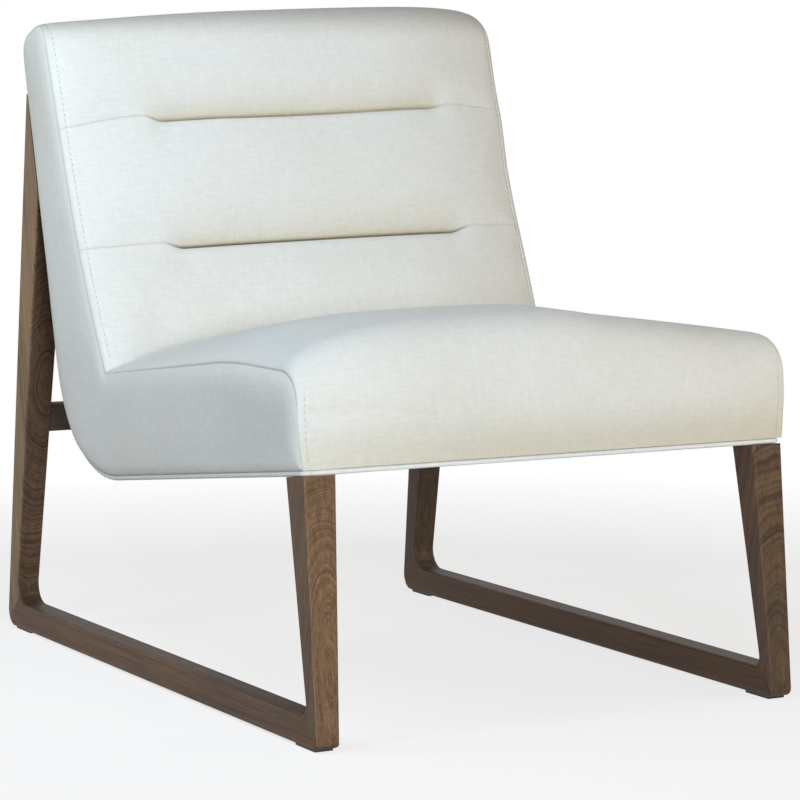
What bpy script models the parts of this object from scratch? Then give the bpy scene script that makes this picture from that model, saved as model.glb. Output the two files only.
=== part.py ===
"""Occasional chair: an L-shaped upholstered shell on two wooden sled side frames.

Metres, +Z up. The origin is on the floor under the middle of the chair, which faces -Y.
A side profile is written as (run, height): run is the distance behind the front feet.
"""
import math

import bmesh
import bpy
from mathutils import Matrix, Vector

COLLECTION = "occasional_chair"
CUTTER_COLLECTION = "cutters"

# Overall size of the wooden base
FRAME_WIDTH = 0.620
FRAME_DEPTH = 0.884

# Fits
GAP = 0.0003
BORE_CLEARANCE = 0.0003

# Side frame: runner, front leg and rear leg
GLIDE_THICKNESS = 0.003
RUNNER_HEIGHT = 0.033
RUNNER_WIDTH = 0.030
FRONT_LEG_LEAN = math.radians(5.5)
FRONT_LEG_REAR_LEAN = math.radians(10.6)
FRONT_LEG_FOOT_DEPTH = 0.020
FRONT_LEG_TOP_WIDTH = 0.0395
REAR_LEG_LEAN = math.radians(7.25)
REAR_LEG_FRONT_LEAN = math.radians(9.7)
REAR_LEG_FOOT_DEPTH = 0.028
REAR_LEG_TOP_WIDTH = 0.042
REAR_LEG_TIP = 0.004
FRONT_FOOT_RADIUS = 0.009
REAR_FOOT_RADIUS = 0.020
FRONT_FILLET_RADIUS = 0.012
REAR_FILLET_RADIUS = 0.025
ARRIS_RADIUS = 0.0025
TENON_LENGTH = 0.016
TENON_WIDTH = 0.014
TENON_THICKNESS = 0.006

# Glides
GLIDE_LENGTH = 0.046
GLIDE_SIDE_MARGIN = 0.004
GLIDE_END_MARGIN = 0.010

# Stretcher between the rear legs
STRETCHER_HEIGHT = 0.036
STRETCHER_DEPTH = 0.022
STRETCHER_LEVEL = 0.2796
STRETCHER_SETBACK = 0.003
STRETCHER_DOWEL_RADIUS = 0.004
STRETCHER_DOWEL_LENGTH = 0.036

# Side outline of the upholstered shell, to the outside of its welts
SEAT_NOSE_HEIGHT = 0.4056
SEAT_NOSE_DROP = 0.021
SEAT_SIDE_HEIGHT = 0.130
SEAT_PITCH = math.radians(7.13)
SEAT_FRONT_RUN = 0.029
SEAT_FRONT_LEAN = math.radians(5.5)
HEEL_TO_REAR_FEET = 0.2135
CREASE_TO_HEEL = 0.0991
BACK_FRONT_LEAN = math.radians(20.7)
BACK_RISE = 0.3784
BACK_REAR_LEAN = math.radians(14.5)
FRONT_CORNER_RADIUS = 0.004
HEEL_RADIUS = 0.166
BACK_TOP_REAR_RADIUS = 0.038
BACK_TOP_FRONT_RADIUS = 0.020
NOSE_RADIUS = 0.060
NOSE_BLEND_RADIUS = 0.900

# Upholstery
WELT_DIAMETER = 0.0065
COVER_THICKNESS = 0.002
SEAM_BULGE = 0.0045
SEAM_BULGE_RISE = 0.060
SIDE_COVER_BULGE = 0.009
SIDE_COVER_ROLL = 0.022
DUST_COVER_THICKNESS = 0.001
SEAT_CROWN = 0.050
CROWN_POWER = 2.2
FRONT_CROWN = 0.008
FRONT_CROWN_RISE = 0.045
BACK_CROWN = 0.030
BACK_TOP_CROWN = 0.016
CREASE_RADIUS = 0.014
CREASE_TUCK = 0.045
FRONT_PAD = 0.012

# Channels sewn into the inside back, as distances up from the crease
LOWER_CHANNEL = 0.160
UPPER_CHANNEL = 0.327
CHANNEL_PINCH = 0.010
CHANNEL_PINCH_WIDTH = 0.009
CHANNEL_SINK = 0.007
CHANNEL_SINK_WIDTH = 0.034
CHANNEL_HALF_LENGTH = 0.222
CHANNEL_FADE = 0.030
SEAM_LINE_DEPTH = 0.0015
SEAM_LINE_WIDTH = 0.004

# Shell frame
RAIL_HEIGHT = 0.060
RAIL_THICKNESS = 0.020
CROSS_RAIL_THICKNESS = 0.025
POST_DEPTH = 0.035
LOWER_BACK_RAIL_HEIGHT = 0.060
TOP_RAIL_HEIGHT = 0.070
FRONT_RAIL_SETBACK = 0.002
WEBBING_THICKNESS = 0.0015
WEBBING_WIDTH = 0.050
SEAT_STRAPS = 5
BACK_STRAP_PITCH = 0.060
STRAP_MARGIN = 0.030

# Fixings
PLATE_THICKNESS = 0.0035
PLATE_OVERHANG = 0.014
PLATE_LENGTH = 0.062
PLATE_SCREW_RADIUS = 0.002
PLATE_SCREW_LENGTH = 0.040
PLATE_SCREW_ALONG = (0.042, 0.058)
LEG_BOLT_RADIUS = 0.004
LEG_BOLT_MARGIN = 0.004
LEG_BOLT_IN_LEG = 0.045
LEG_BOLT_IN_RAIL = 0.035
REAR_BOLT_RADIUS = 0.003
REAR_BOLT_IN_POST = 0.025
REAR_BOLTS_ALONG = (0.018, 0.063)
REAR_BOLT_COVER = 0.012

# How finely the forms are cut
CROWN_SECTIONS = 12
ARC_STEPS = 6
WELT_STEPS = 4

FLOOR = 0.0
FRAME_HALF = FRAME_WIDTH / 2
# The shell is placed from the seat's nose, and its back keeps its distance from the rear feet
UNDERSIDE_FRONT_HEIGHT = SEAT_NOSE_HEIGHT + SEAT_NOSE_DROP - SEAT_SIDE_HEIGHT / math.cos(SEAT_PITCH)
HEEL_RUN = FRAME_DEPTH - HEEL_TO_REAR_FEET
CREASE_RUN = HEEL_RUN - CREASE_TO_HEEL
BACK_SEAM_HEIGHT = SEAT_NOSE_HEIGHT + BACK_RISE
RUNNER_BOTTOM = FLOOR + GLIDE_THICKNESS
RUNNER_TOP = RUNNER_BOTTOM + RUNNER_HEIGHT
# The shell's frame lies behind the plate, the dust cover and their gaps
FRAME_INSET = PLATE_THICKNESS + DUST_COVER_THICKNESS + 2 * GAP
# The side covers, with their wadding, are as thick as the welt beside them
SIDE_COVER_INNER = FRAME_HALF - WELT_DIAMETER
SEAM_HALF = SIDE_COVER_INNER - GAP
WELT_RADIUS = WELT_DIAMETER / 2
WELT_HALF = FRAME_HALF - WELT_RADIUS
WELT_TURN = WELT_RADIUS + 2 * GAP

MATERIALS = {
    "oak": ((0.15, 0.095, 0.06), 0.55, 0.0),
    "beech": ((0.62, 0.45, 0.28), 0.6, 0.0),
    "plywood": ((0.66, 0.52, 0.35), 0.6, 0.0),
    "linen": ((0.80, 0.79, 0.74), 0.9, 0.0),
    "foam": ((0.85, 0.80, 0.62), 0.95, 0.0),
    "webbing": ((0.10, 0.10, 0.10), 0.9, 0.0),
    "dust_cloth": ((0.02, 0.02, 0.02), 0.95, 0.0),
    "black_steel": ((0.03, 0.03, 0.03), 0.45, 0.8),
    "zinc_steel": ((0.55, 0.56, 0.57), 0.35, 1.0),
    "black_plastic": ((0.02, 0.02, 0.02), 0.5, 0.0),
}


# Scene helpers

def clear_scene():
    for obj in list(bpy.data.objects):
        bpy.data.objects.remove(obj, do_unlink=True)


def make_material(name):
    color, roughness, metallic = MATERIALS[name]
    material = bpy.data.materials.get(name)
    if material is None:
        material = bpy.data.materials.new(name)
        material.use_nodes = True
        shader = material.node_tree.nodes["Principled BSDF"]
        shader.inputs["Base Color"].default_value = (*color, 1.0)
        shader.inputs["Roughness"].default_value = roughness
        shader.inputs["Metallic"].default_value = metallic
        material.diffuse_color = (*color, 1.0)
    return material


def collection(name):
    found = bpy.data.collections.get(name)
    if found is None:
        found = bpy.data.collections.new(name)
        bpy.context.scene.collection.children.link(found)
    return found


def add_object(name, mesh, material, smooth_angle=math.radians(35)):
    obj = bpy.data.objects.new(name, mesh)
    mesh.materials.append(make_material(material))
    mesh.shade_smooth()
    mesh.set_sharp_from_angle(angle=smooth_angle)
    collection(COLLECTION).objects.link(obj)
    return obj


def mesh_from(bm, name):
    bmesh.ops.remove_doubles(bm, verts=bm.verts, dist=1e-6)
    bmesh.ops.recalc_face_normals(bm, faces=bm.faces)
    mesh = bpy.data.meshes.new(name)
    bm.to_mesh(mesh)
    bm.free()
    return mesh


# Profile geometry in (run, height)

def place(x, point):
    run, height = point
    return Vector((x, run - FRAME_DEPTH / 2, height))


class Edge:
    """A straight side of a profile: a point on it and its inward normal."""

    def __init__(self, point, normal):
        self.normal = Vector(normal).normalized()
        self.offset = self.normal.dot(Vector(point))

    def inset(self, distance):
        moved = Edge((0.0, 0.0), self.normal)
        moved.offset = self.offset + distance
        return moved


def meet(first, second):
    """The point where two edges cross."""
    a, b = first.normal
    c, d = second.normal
    scale = 1.0 / (a * d - b * c)
    return Vector((
        (d * first.offset - b * second.offset) * scale,
        (a * second.offset - c * first.offset) * scale,
    ))


# A corner this close to straight has evenly spaced points over its least reach
STRAIGHT = math.radians(0.5)
LEAST_REACH = 0.004


def rounded(corners, steps=ARC_STEPS):
    """A closed outline from (point, radius) corners, each radius limited by its sides."""
    outline = []
    count = len(corners)
    for index, (point, radius) in enumerate(corners):
        before = corners[index - 1][0] - point
        after = corners[(index + 1) % count][0] - point
        if radius <= 0.0:
            outline.append(point.copy())
            continue
        inner = before.angle(after)
        reach = max(radius / math.tan(inner / 2), LEAST_REACH)
        # A neighbour that is rounded too leaves only half of the side between them
        for side, neighbour in ((before, corners[index - 1]), (after, corners[(index + 1) % count])):
            reach = min(reach, side.length * (0.98 if neighbour[1] <= 0.0 else 0.49))
        start = point + before.normalized() * reach
        end = point + after.normalized() * reach
        if math.pi - inner < STRAIGHT:
            outline += [start.lerp(end, step / steps) for step in range(steps + 1)]
            continue
        radius = reach * math.tan(inner / 2)
        bisector = (before.normalized() + after.normalized()).normalized()
        centre = point + bisector * (radius / math.sin(inner / 2))
        turn = (start - centre).angle_signed(end - centre)
        for step in range(steps + 1):
            rotation = Matrix.Rotation(-turn * step / steps, 2)
            outline.append(centre + rotation @ (start - centre))
    return outline


def seat_direction():
    return Vector((math.cos(SEAT_PITCH), -math.sin(SEAT_PITCH)))


def lean_direction(lean):
    return Vector((math.sin(lean), math.cos(lean)))


UNDERSIDE = Edge((SEAT_FRONT_RUN, UNDERSIDE_FRONT_HEIGHT), (math.sin(SEAT_PITCH), math.cos(SEAT_PITCH)))
FRONT = Edge((SEAT_FRONT_RUN, UNDERSIDE_FRONT_HEIGHT), (math.cos(SEAT_FRONT_LEAN), -math.sin(SEAT_FRONT_LEAN)))
NOSE = Edge((0.0, SEAT_NOSE_HEIGHT), (0.0, -1.0))
SEAT_TOP = Edge((0.0, 0.0), -UNDERSIDE.normal)
SEAT_TOP.offset = -(UNDERSIDE.offset + SEAT_SIDE_HEIGHT)
CREASE_POINT = meet(SEAT_TOP, Edge((CREASE_RUN, 0.0), (1.0, 0.0)))
BACK_FRONT = Edge(CREASE_POINT, (math.cos(BACK_FRONT_LEAN), -math.sin(BACK_FRONT_LEAN)))
HEEL_POINT = meet(UNDERSIDE, Edge((HEEL_RUN, 0.0), (1.0, 0.0)))
REAR = Edge(HEEL_POINT, (-math.cos(BACK_REAR_LEAN), math.sin(BACK_REAR_LEAN)))
TOP_TILT = (BACK_FRONT_LEAN + BACK_REAR_LEAN) / 2
BACK_SEAM_TOP = meet(BACK_FRONT, Edge((0.0, BACK_SEAM_HEIGHT), (0.0, 1.0)))
TOP = Edge(BACK_SEAM_TOP, (-math.sin(TOP_TILT), -math.cos(TOP_TILT)))


def shell_outline(lower, upper):
    """Side outline of the shell, its welted edges moved in by lower and its seams by upper."""
    underside = UNDERSIDE.inset(lower)
    rear = REAR.inset(lower)
    top = TOP.inset(upper)
    back = BACK_FRONT.inset(upper)
    seat = SEAT_TOP.inset(upper)
    nose = NOSE.inset(upper)
    front = FRONT.inset(upper)
    return rounded([
        (meet(front, underside), FRONT_CORNER_RADIUS),
        (meet(underside, rear), HEEL_RADIUS - lower),
        (meet(rear, top), max(BACK_TOP_REAR_RADIUS - upper, LEAST_REACH)),
        (meet(top, back), max(BACK_TOP_FRONT_RADIUS - upper, LEAST_REACH)),
        (meet(back, seat), 0.0),
        (meet(seat, nose), NOSE_BLEND_RADIUS),
        (meet(nose, front), max(NOSE_RADIUS - upper, LEAST_REACH)),
    ])


# Solid helpers

def prism(outline, x_low, x_high):
    """A bmesh prism across X from a closed (run, height) outline."""
    bm = bmesh.new()
    low = [bm.verts.new(place(x_low, point)) for point in outline]
    bm.faces.new(low)
    extruded = bmesh.ops.extrude_face_region(bm, geom=list(bm.faces))
    moved = [item for item in extruded["geom"] if isinstance(item, bmesh.types.BMVert)]
    bmesh.ops.translate(bm, verts=moved, vec=(x_high - x_low, 0.0, 0.0))
    bmesh.ops.recalc_face_normals(bm, faces=bm.faces)
    return bm


def keep_side(bm, point, normal):
    """Cuts a bmesh by a plane and keeps the side that the normal points away from."""
    geometry = list(bm.verts) + list(bm.edges) + list(bm.faces)
    cut = bmesh.ops.bisect_plane(bm, geom=geometry, plane_co=point, plane_no=normal, clear_outer=True)
    rim = [item for item in cut["geom_cut"] if isinstance(item, bmesh.types.BMEdge)]
    bmesh.ops.holes_fill(bm, edges=rim)


def box(name, size, location, pitch, material, bevel=0.0):
    """A box primitive, turned by pitch about X."""
    bm = bmesh.new()
    bmesh.ops.create_cube(bm, size=1.0)
    bmesh.ops.scale(bm, vec=size, verts=bm.verts)
    if bevel:
        bmesh.ops.bevel(bm, geom=list(bm.edges), offset=bevel, segments=1, affect="EDGES")
    obj = add_object(name, mesh_from(bm, name), material)
    obj.rotation_euler = (pitch, 0.0, 0.0)
    obj.location = location
    return obj


def rod(name, radius, start, end, material, sides=16):
    """A cylinder between two points."""
    axis = end - start
    bm = bmesh.new()
    bmesh.ops.create_cone(bm, cap_ends=True, segments=sides, radius1=radius, radius2=radius, depth=axis.length)
    turn = axis.to_track_quat("Z", "Y").to_matrix().to_4x4()
    bmesh.ops.transform(bm, matrix=Matrix.Translation((start + end) / 2) @ turn, verts=bm.verts)
    return add_object(name, mesh_from(bm, name), material)


def as_cutter(obj):
    """Moves an object to the cutters, where it isn't rendered."""
    collection(COLLECTION).objects.unlink(obj)
    collection(CUTTER_COLLECTION).objects.link(obj)
    obj.hide_render = True
    obj.display_type = "WIRE"
    return obj


def cut(obj, cutter):
    modifier = obj.modifiers.new("cut_" + cutter.name, "BOOLEAN")
    modifier.operation = "DIFFERENCE"
    modifier.solver = "EXACT"
    modifier.object = cutter


def loft(name, sections, material, mirrored_from=None):
    """A closed body through sections of equal point counts, capped at both ends.

    Each patch is two triangles. From the point mirrored_from on they are split the other way,
    so that a surface whose points run backwards still fits one whose points run forwards.
    """
    bm = bmesh.new()
    rings = [[bm.verts.new(point) for point in section] for section in sections]
    count = len(rings[0])
    for ring, following in zip(rings, rings[1:]):
        for index in range(count):
            after = (index + 1) % count
            if mirrored_from is not None and index >= mirrored_from:
                bm.faces.new((ring[index], ring[after], following[index]))
                bm.faces.new((ring[after], following[after], following[index]))
            else:
                bm.faces.new((ring[index], ring[after], following[after]))
                bm.faces.new((ring[index], following[after], following[index]))
    bm.faces.new(rings[0][::-1])
    bm.faces.new(rings[-1])
    return add_object(name, mesh_from(bm, name), material, math.radians(50))


def offset_path(path, distance):
    """Moves an open path to its left side by distance, with mitred corners."""
    moved = []
    last = len(path) - 1
    for index, point in enumerate(path):
        arriving = (point - path[index - 1]).normalized() if index else None
        leaving = (path[index + 1] - point).normalized() if index < last else None
        arriving = arriving or leaving
        leaving = leaving or arriving
        normal = Vector((-arriving.y - leaving.y, arriving.x + leaving.x)).normalized()
        stretch = 1.0 / max(0.5, normal.dot(Vector((-leaving.y, leaving.x))))
        moved.append(point + normal * distance * stretch)
    return moved


# Wooden side frames

FRONT_FOOT_PULL = FRONT_FOOT_RADIUS * ((1 + math.sin(FRONT_LEG_LEAN)) / math.cos(FRONT_LEG_LEAN) - 1)
REAR_FOOT_PULL = REAR_FOOT_RADIUS * ((1 + math.sin(REAR_LEG_LEAN)) / math.cos(REAR_LEG_LEAN) - 1)
LEG_FRONT = Edge((-FRONT_FOOT_PULL, RUNNER_BOTTOM), (math.cos(FRONT_LEG_LEAN), -math.sin(FRONT_LEG_LEAN)))
LEG_REAR = Edge((FRAME_DEPTH + REAR_FOOT_PULL, RUNNER_BOTTOM), (-math.cos(REAR_LEG_LEAN), -math.sin(REAR_LEG_LEAN)))
SOLE = Edge((0.0, RUNNER_BOTTOM), (0.0, 1.0))
RUNNER_UPPER = Edge((0.0, RUNNER_TOP), (0.0, 1.0))
FRONT_CORNER_INNER = meet(LEG_FRONT, RUNNER_UPPER) + Vector((FRONT_LEG_FOOT_DEPTH, 0.0))
REAR_CORNER_INNER = meet(LEG_REAR, RUNNER_UPPER) - Vector((REAR_LEG_FOOT_DEPTH, 0.0))
FRONT_LEG_BACK = Edge(FRONT_CORNER_INNER, (math.cos(FRONT_LEG_REAR_LEAN), -math.sin(FRONT_LEG_REAR_LEAN)))
REAR_LEG_FRONT = Edge(REAR_CORNER_INNER, (math.cos(REAR_LEG_FRONT_LEAN), math.sin(REAR_LEG_FRONT_LEAN)))
LEG_SEAT_FACE = UNDERSIDE.inset(-GAP)
LEG_BACK_FACE = REAR.inset(-GAP)
REAR_LEG_APEX = meet(LEG_REAR, LEG_BACK_FACE)
REAR_LEG_TOP = REAR_LEG_APEX.y - REAR_LEG_TIP / (math.tan(REAR_LEG_LEAN) + math.tan(BACK_REAR_LEAN))


def side_frame_outline():
    """The whole sled frame in one outline, before the mitres cut it."""
    tip = Edge((0.0, REAR_LEG_TOP), (0.0, 1.0))
    return rounded([
        (meet(LEG_FRONT, SOLE), FRONT_FOOT_RADIUS),
        (meet(SOLE, LEG_REAR), REAR_FOOT_RADIUS),
        (meet(LEG_REAR, tip), 0.0),
        (meet(LEG_BACK_FACE, tip), 0.0),
        (meet(REAR_LEG_FRONT, LEG_BACK_FACE), 0.0),
        (REAR_CORNER_INNER, REAR_FILLET_RADIUS),
        (FRONT_CORNER_INNER, FRONT_FILLET_RADIUS),
        (meet(FRONT_LEG_BACK, LEG_SEAT_FACE), 0.0),
        (meet(LEG_FRONT, LEG_SEAT_FACE), 0.0),
    ], 6)


def leg_width(height, top_width, top_height):
    """Thickness of a leg across the chair, growing from the runner's width to its top."""
    share = (height - RUNNER_TOP) / (top_height - RUNNER_TOP)
    return RUNNER_WIDTH + share * (top_width - RUNNER_WIDTH)


FRONT_LEG_TOP = meet(FRONT_LEG_BACK, LEG_SEAT_FACE).y


def front_leg_width(height):
    return leg_width(height, FRONT_LEG_TOP_WIDTH, FRONT_LEG_TOP)


def rear_leg_width(height):
    return leg_width(height, REAR_LEG_TOP_WIDTH, REAR_LEG_TOP)


def mitre(outer, inner, along_runner):
    """A mitre's middle and its normal, which points into the runner."""
    direction = (inner - outer).normalized()
    return (outer + inner) / 2, Vector((direction.y, -direction.x)) * along_runner


FRONT_MITRE = mitre(meet(LEG_FRONT, SOLE), FRONT_CORNER_INNER, 1)
REAR_MITRE = mitre(meet(LEG_REAR, SOLE), REAR_CORNER_INNER, -1)


def mitre_plane(joint, toward_runner):
    """A point and an outward normal for the member on one side of a mitre, half a gap off it."""
    point, normal = joint
    shifted = point + normal * toward_runner * GAP / 2
    return place(0.0, shifted), Vector((0.0, normal.x, normal.y)) * -toward_runner


def frame_piece(name, side, planes, width_at):
    """One member of a side frame, cut at its mitres, tapered, with rounded arrises."""
    bm = prism(side_frame_outline(), 0.0, 1.0)
    for point, normal in planes:
        keep_side(bm, point, normal)
    for vert in bm.verts:
        inward = width_at(vert.co.z) if vert.co.x > 0.5 else 0.0
        vert.co.x = side * (FRAME_HALF - inward)
    bmesh.ops.recalc_face_normals(bm, faces=bm.faces)
    long_edges = [edge for edge in bm.edges if needs_arris(edge, planes)]
    bmesh.ops.bevel(
        bm, geom=long_edges, offset=ARRIS_RADIUS, segments=2, profile=0.5, affect="EDGES", clamp_overlap=True)
    return add_object(name, mesh_from(bm, name), "oak")


def needs_arris(edge, planes):
    """True on a sharp edge that lies in no mitre and isn't a leg's cut top."""
    if edge.calc_face_angle(0.0) < math.radians(30):
        return False
    middle = (edge.verts[0].co + edge.verts[1].co) / 2
    for point, normal in planes:
        if abs((middle - point).dot(normal)) < GAP:
            return False
    seat_face = abs(LEG_SEAT_FACE.normal.dot(flat(middle)) - LEG_SEAT_FACE.offset) < GAP
    back_face = abs(LEG_BACK_FACE.normal.dot(flat(middle)) - LEG_BACK_FACE.offset) < GAP
    return not seat_face and not back_face and middle.z < REAR_LEG_TOP - GAP


def flat(point):
    """The (run, height) of a point in the chair's space."""
    return Vector((point.y + FRAME_DEPTH / 2, point.z))


def build_side_frame(label, side):
    leg = frame_piece(label + "_front_leg", side, [mitre_plane(FRONT_MITRE, -1)], front_leg_width)
    ends = [mitre_plane(FRONT_MITRE, 1), mitre_plane(REAR_MITRE, 1)]
    runner = frame_piece(label + "_runner", side, ends, lambda height: RUNNER_WIDTH)
    rear = frame_piece(label + "_rear_leg", side, [mitre_plane(REAR_MITRE, -1)], rear_leg_width)
    add_tenon(label + "_front_tenon", side, FRONT_MITRE, (leg, runner))
    add_tenon(label + "_rear_tenon", side, REAR_MITRE, (rear, runner))
    return leg, rear


def add_tenon(name, side, joint, members):
    """A loose tenon across a mitre, and its mortises."""
    point, normal = joint
    pitch = math.atan2(normal.y, normal.x)
    centre = place(side * (FRAME_HALF - RUNNER_WIDTH / 2), point)
    size = (TENON_WIDTH, TENON_LENGTH, TENON_THICKNESS)
    box(name, size, centre, pitch, "beech")
    room = tuple(length + 2 * BORE_CLEARANCE for length in size)
    mortise = as_cutter(box(name + "_mortise", room, centre, pitch, "beech"))
    for member in members:
        cut(member, mortise)


def build_glides():
    """Black pads under the four ends of the runners."""
    length = GLIDE_LENGTH
    width = RUNNER_WIDTH - 2 * GLIDE_SIDE_MARGIN
    thickness = GLIDE_THICKNESS - GAP
    runs = {
        "front": GLIDE_END_MARGIN + length / 2,
        "rear": FRAME_DEPTH - REAR_FOOT_RADIUS - length / 2,
    }
    for label, side in (("left", -1), ("right", 1)):
        for end, run in runs.items():
            centre = place(side * (FRAME_HALF - RUNNER_WIDTH / 2), (run, FLOOR + thickness / 2))
            box(f"{label}_{end}_glide", (width, length, thickness), centre, 0.0, "black_plastic")


def build_stretcher(rear_legs):
    """The bar between the rear legs, its ends cut to the legs' taper, and its dowels."""
    level_edge = Edge((0.0, STRETCHER_LEVEL), (0.0, 1.0))
    run = meet(REAR_LEG_FRONT, level_edge).x + STRETCHER_SETBACK + STRETCHER_DEPTH / 2
    bm = bmesh.new()
    bmesh.ops.create_cube(bm, size=1.0)
    centre = place(0.0, (run, STRETCHER_LEVEL))
    for vert in bm.verts:
        side = math.copysign(1.0, vert.co.x)
        height = STRETCHER_LEVEL + vert.co.z * STRETCHER_HEIGHT
        reach = FRAME_HALF - rear_leg_width(height) - GAP
        vert.co = Vector((side * reach, centre.y + vert.co.y * STRETCHER_DEPTH, height))
    along = [edge for edge in bm.edges if abs(edge.verts[0].co.x - edge.verts[1].co.x) > FRAME_HALF]
    bmesh.ops.bevel(bm, geom=along, offset=ARRIS_RADIUS, segments=2, profile=0.5, affect="EDGES")
    stretcher = add_object("rear_stretcher", mesh_from(bm, "rear_stretcher"), "oak")
    shoulder = FRAME_HALF - rear_leg_width(STRETCHER_LEVEL)
    for label, side in (("left", -1), ("right", 1)):
        inner = centre + Vector((side * (shoulder - STRETCHER_DOWEL_LENGTH / 2), 0.0, 0.0))
        outer = centre + Vector((side * (shoulder + STRETCHER_DOWEL_LENGTH / 2), 0.0, 0.0))
        add_pin(label + "_stretcher_dowel", STRETCHER_DOWEL_RADIUS, inner, outer, "beech",
                (stretcher, rear_legs[side]))


def add_pin(name, radius, start, end, material, members, mouth=0.0):
    """A round pin and the bores it fills. The bore is open by mouth past the pin's start."""
    pin = rod(name, radius, start, end, material)
    along = (end - start).normalized()
    bore_start = start - along * (BORE_CLEARANCE + mouth)
    bore_end = end + along * BORE_CLEARANCE
    bore = as_cutter(rod(name + "_bore", radius + BORE_CLEARANCE, bore_start, bore_end, material))
    for member in members:
        cut(member, bore)
    return pin


# Shell frame

def seat_point(along, rise):
    """A point along the underside from its front corner and above it."""
    return UNDERSIDE_START + seat_direction() * along + UNDERSIDE.normal * rise


def back_point(along, depth):
    """A point up the rear line from the heel corner and inside it."""
    return HEEL_POINT + lean_direction(BACK_REAR_LEAN) * along + REAR.normal * depth


UNDERSIDE_START = meet(FRONT, UNDERSIDE)
UNDERSIDE_LENGTH = (HEEL_POINT - UNDERSIDE_START).length
FRONT_OF_FRAME = FRONT.inset(COVER_THICKNESS + GAP + FRONT_PAD)
RAIL_TOP = UNDERSIDE.inset(FRAME_INSET + RAIL_HEIGHT)
RAIL_OUTER = SEAM_HALF
RAIL_INNER = RAIL_OUTER - RAIL_THICKNESS
RAIL_MIDDLE = (RAIL_OUTER + RAIL_INNER) / 2
CROSS_HALF = RAIL_INNER - GAP
SEAT_DECK = RAIL_TOP.inset(WEBBING_THICKNESS + 2 * GAP)
POST_FRONT = REAR.inset(FRAME_INSET + POST_DEPTH)
BACK_DECK = POST_FRONT.inset(WEBBING_THICKNESS + 2 * GAP)
# The top cover turns down behind the crown. The top welt lies under its hem, above the posts.
COVER_HEM = TOP.inset(BACK_TOP_REAR_RADIUS + 2 * GAP)
WELT_LINE = COVER_HEM.inset(WELT_RADIUS + GAP)
POST_TOP = WELT_LINE.inset(WELT_RADIUS + 4 * GAP)
# The seat rail ends and the back post begins above the heel's bend
POST_FOOT = UNDERSIDE.inset(HEEL_RADIUS)
# The hem of the outside back, under the seat
HEEL_HEM = UNDERSIDE_LENGTH - HEEL_RADIUS - CROSS_RAIL_THICKNESS
FRONT_RAIL_ALONG = (
    (FRONT_PAD + COVER_THICKNESS) / math.cos(SEAT_PITCH - SEAT_FRONT_LEAN) + FRONT_RAIL_SETBACK
    + CROSS_RAIL_THICKNESS / 2)
HEEL_RAIL_ALONG = UNDERSIDE_LENGTH - HEEL_RADIUS
TOP_RAIL_ALONG = (meet(POST_FRONT, POST_TOP) - back_point(0.0, FRAME_INSET + POST_DEPTH)).length


def each_side():
    return (("left", -1), ("right", 1))


def build_rails_and_posts():
    """Seat side rails with the rounded heel, and the back posts that stand on them."""
    low = UNDERSIDE.inset(FRAME_INSET)
    rear = REAR.inset(FRAME_INSET)
    rail = rounded([
        (meet(FRONT_OF_FRAME, low), 0.0),
        (meet(low, rear), HEEL_RADIUS - FRAME_INSET),
        (meet(rear, POST_FOOT), 0.0),
        (meet(POST_FRONT, POST_FOOT), 0.0),
        (meet(POST_FRONT, RAIL_TOP), 0.0),
        (meet(FRONT_OF_FRAME, RAIL_TOP), 0.0),
    ])
    foot = POST_FOOT.inset(GAP)
    post = [meet(rear, foot), meet(rear, POST_TOP), meet(POST_FRONT, POST_TOP), meet(POST_FRONT, foot)]
    built = {}
    for label, side in each_side():
        for part, outline in (("side_rail", rail), ("back_post", post)):
            low_x, high_x = sorted((side * RAIL_INNER, side * RAIL_OUTER))
            name = f"{label}_{part}"
            built[part, side] = add_object(name, mesh_from(prism(outline, low_x, high_x), name), "plywood")
    return built


def build_cross_rails():
    """Front, heel, lower back and top rails between the sides."""
    rise = FRAME_INSET + RAIL_HEIGHT / 2
    seat_size = (2 * CROSS_HALF, CROSS_RAIL_THICKNESS, RAIL_HEIGHT)
    box("front_rail", seat_size, place(0.0, seat_point(FRONT_RAIL_ALONG, rise)), -SEAT_PITCH, "plywood")
    box("heel_rail", seat_size, place(0.0, seat_point(HEEL_RAIL_ALONG, rise)), -SEAT_PITCH, "plywood")
    depth = FRAME_INSET + POST_DEPTH / 2
    lower_along = HEEL_RADIUS + LOWER_BACK_RAIL_HEIGHT / 2
    box("lower_back_rail", (2 * CROSS_HALF, POST_DEPTH, LOWER_BACK_RAIL_HEIGHT),
        place(0.0, back_point(lower_along, depth)), -BACK_REAR_LEAN, "plywood")
    # The posts' tops slope, so the rail keeps clear of their lower, rear corner
    slope = POST_DEPTH * math.tan(TOP_TILT - BACK_REAR_LEAN)
    top_along = TOP_RAIL_ALONG - slope - TOP_RAIL_HEIGHT / 2
    box("top_rail", (2 * CROSS_HALF, POST_DEPTH, TOP_RAIL_HEIGHT),
        place(0.0, back_point(top_along, depth)), -BACK_REAR_LEAN, "plywood")


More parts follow.
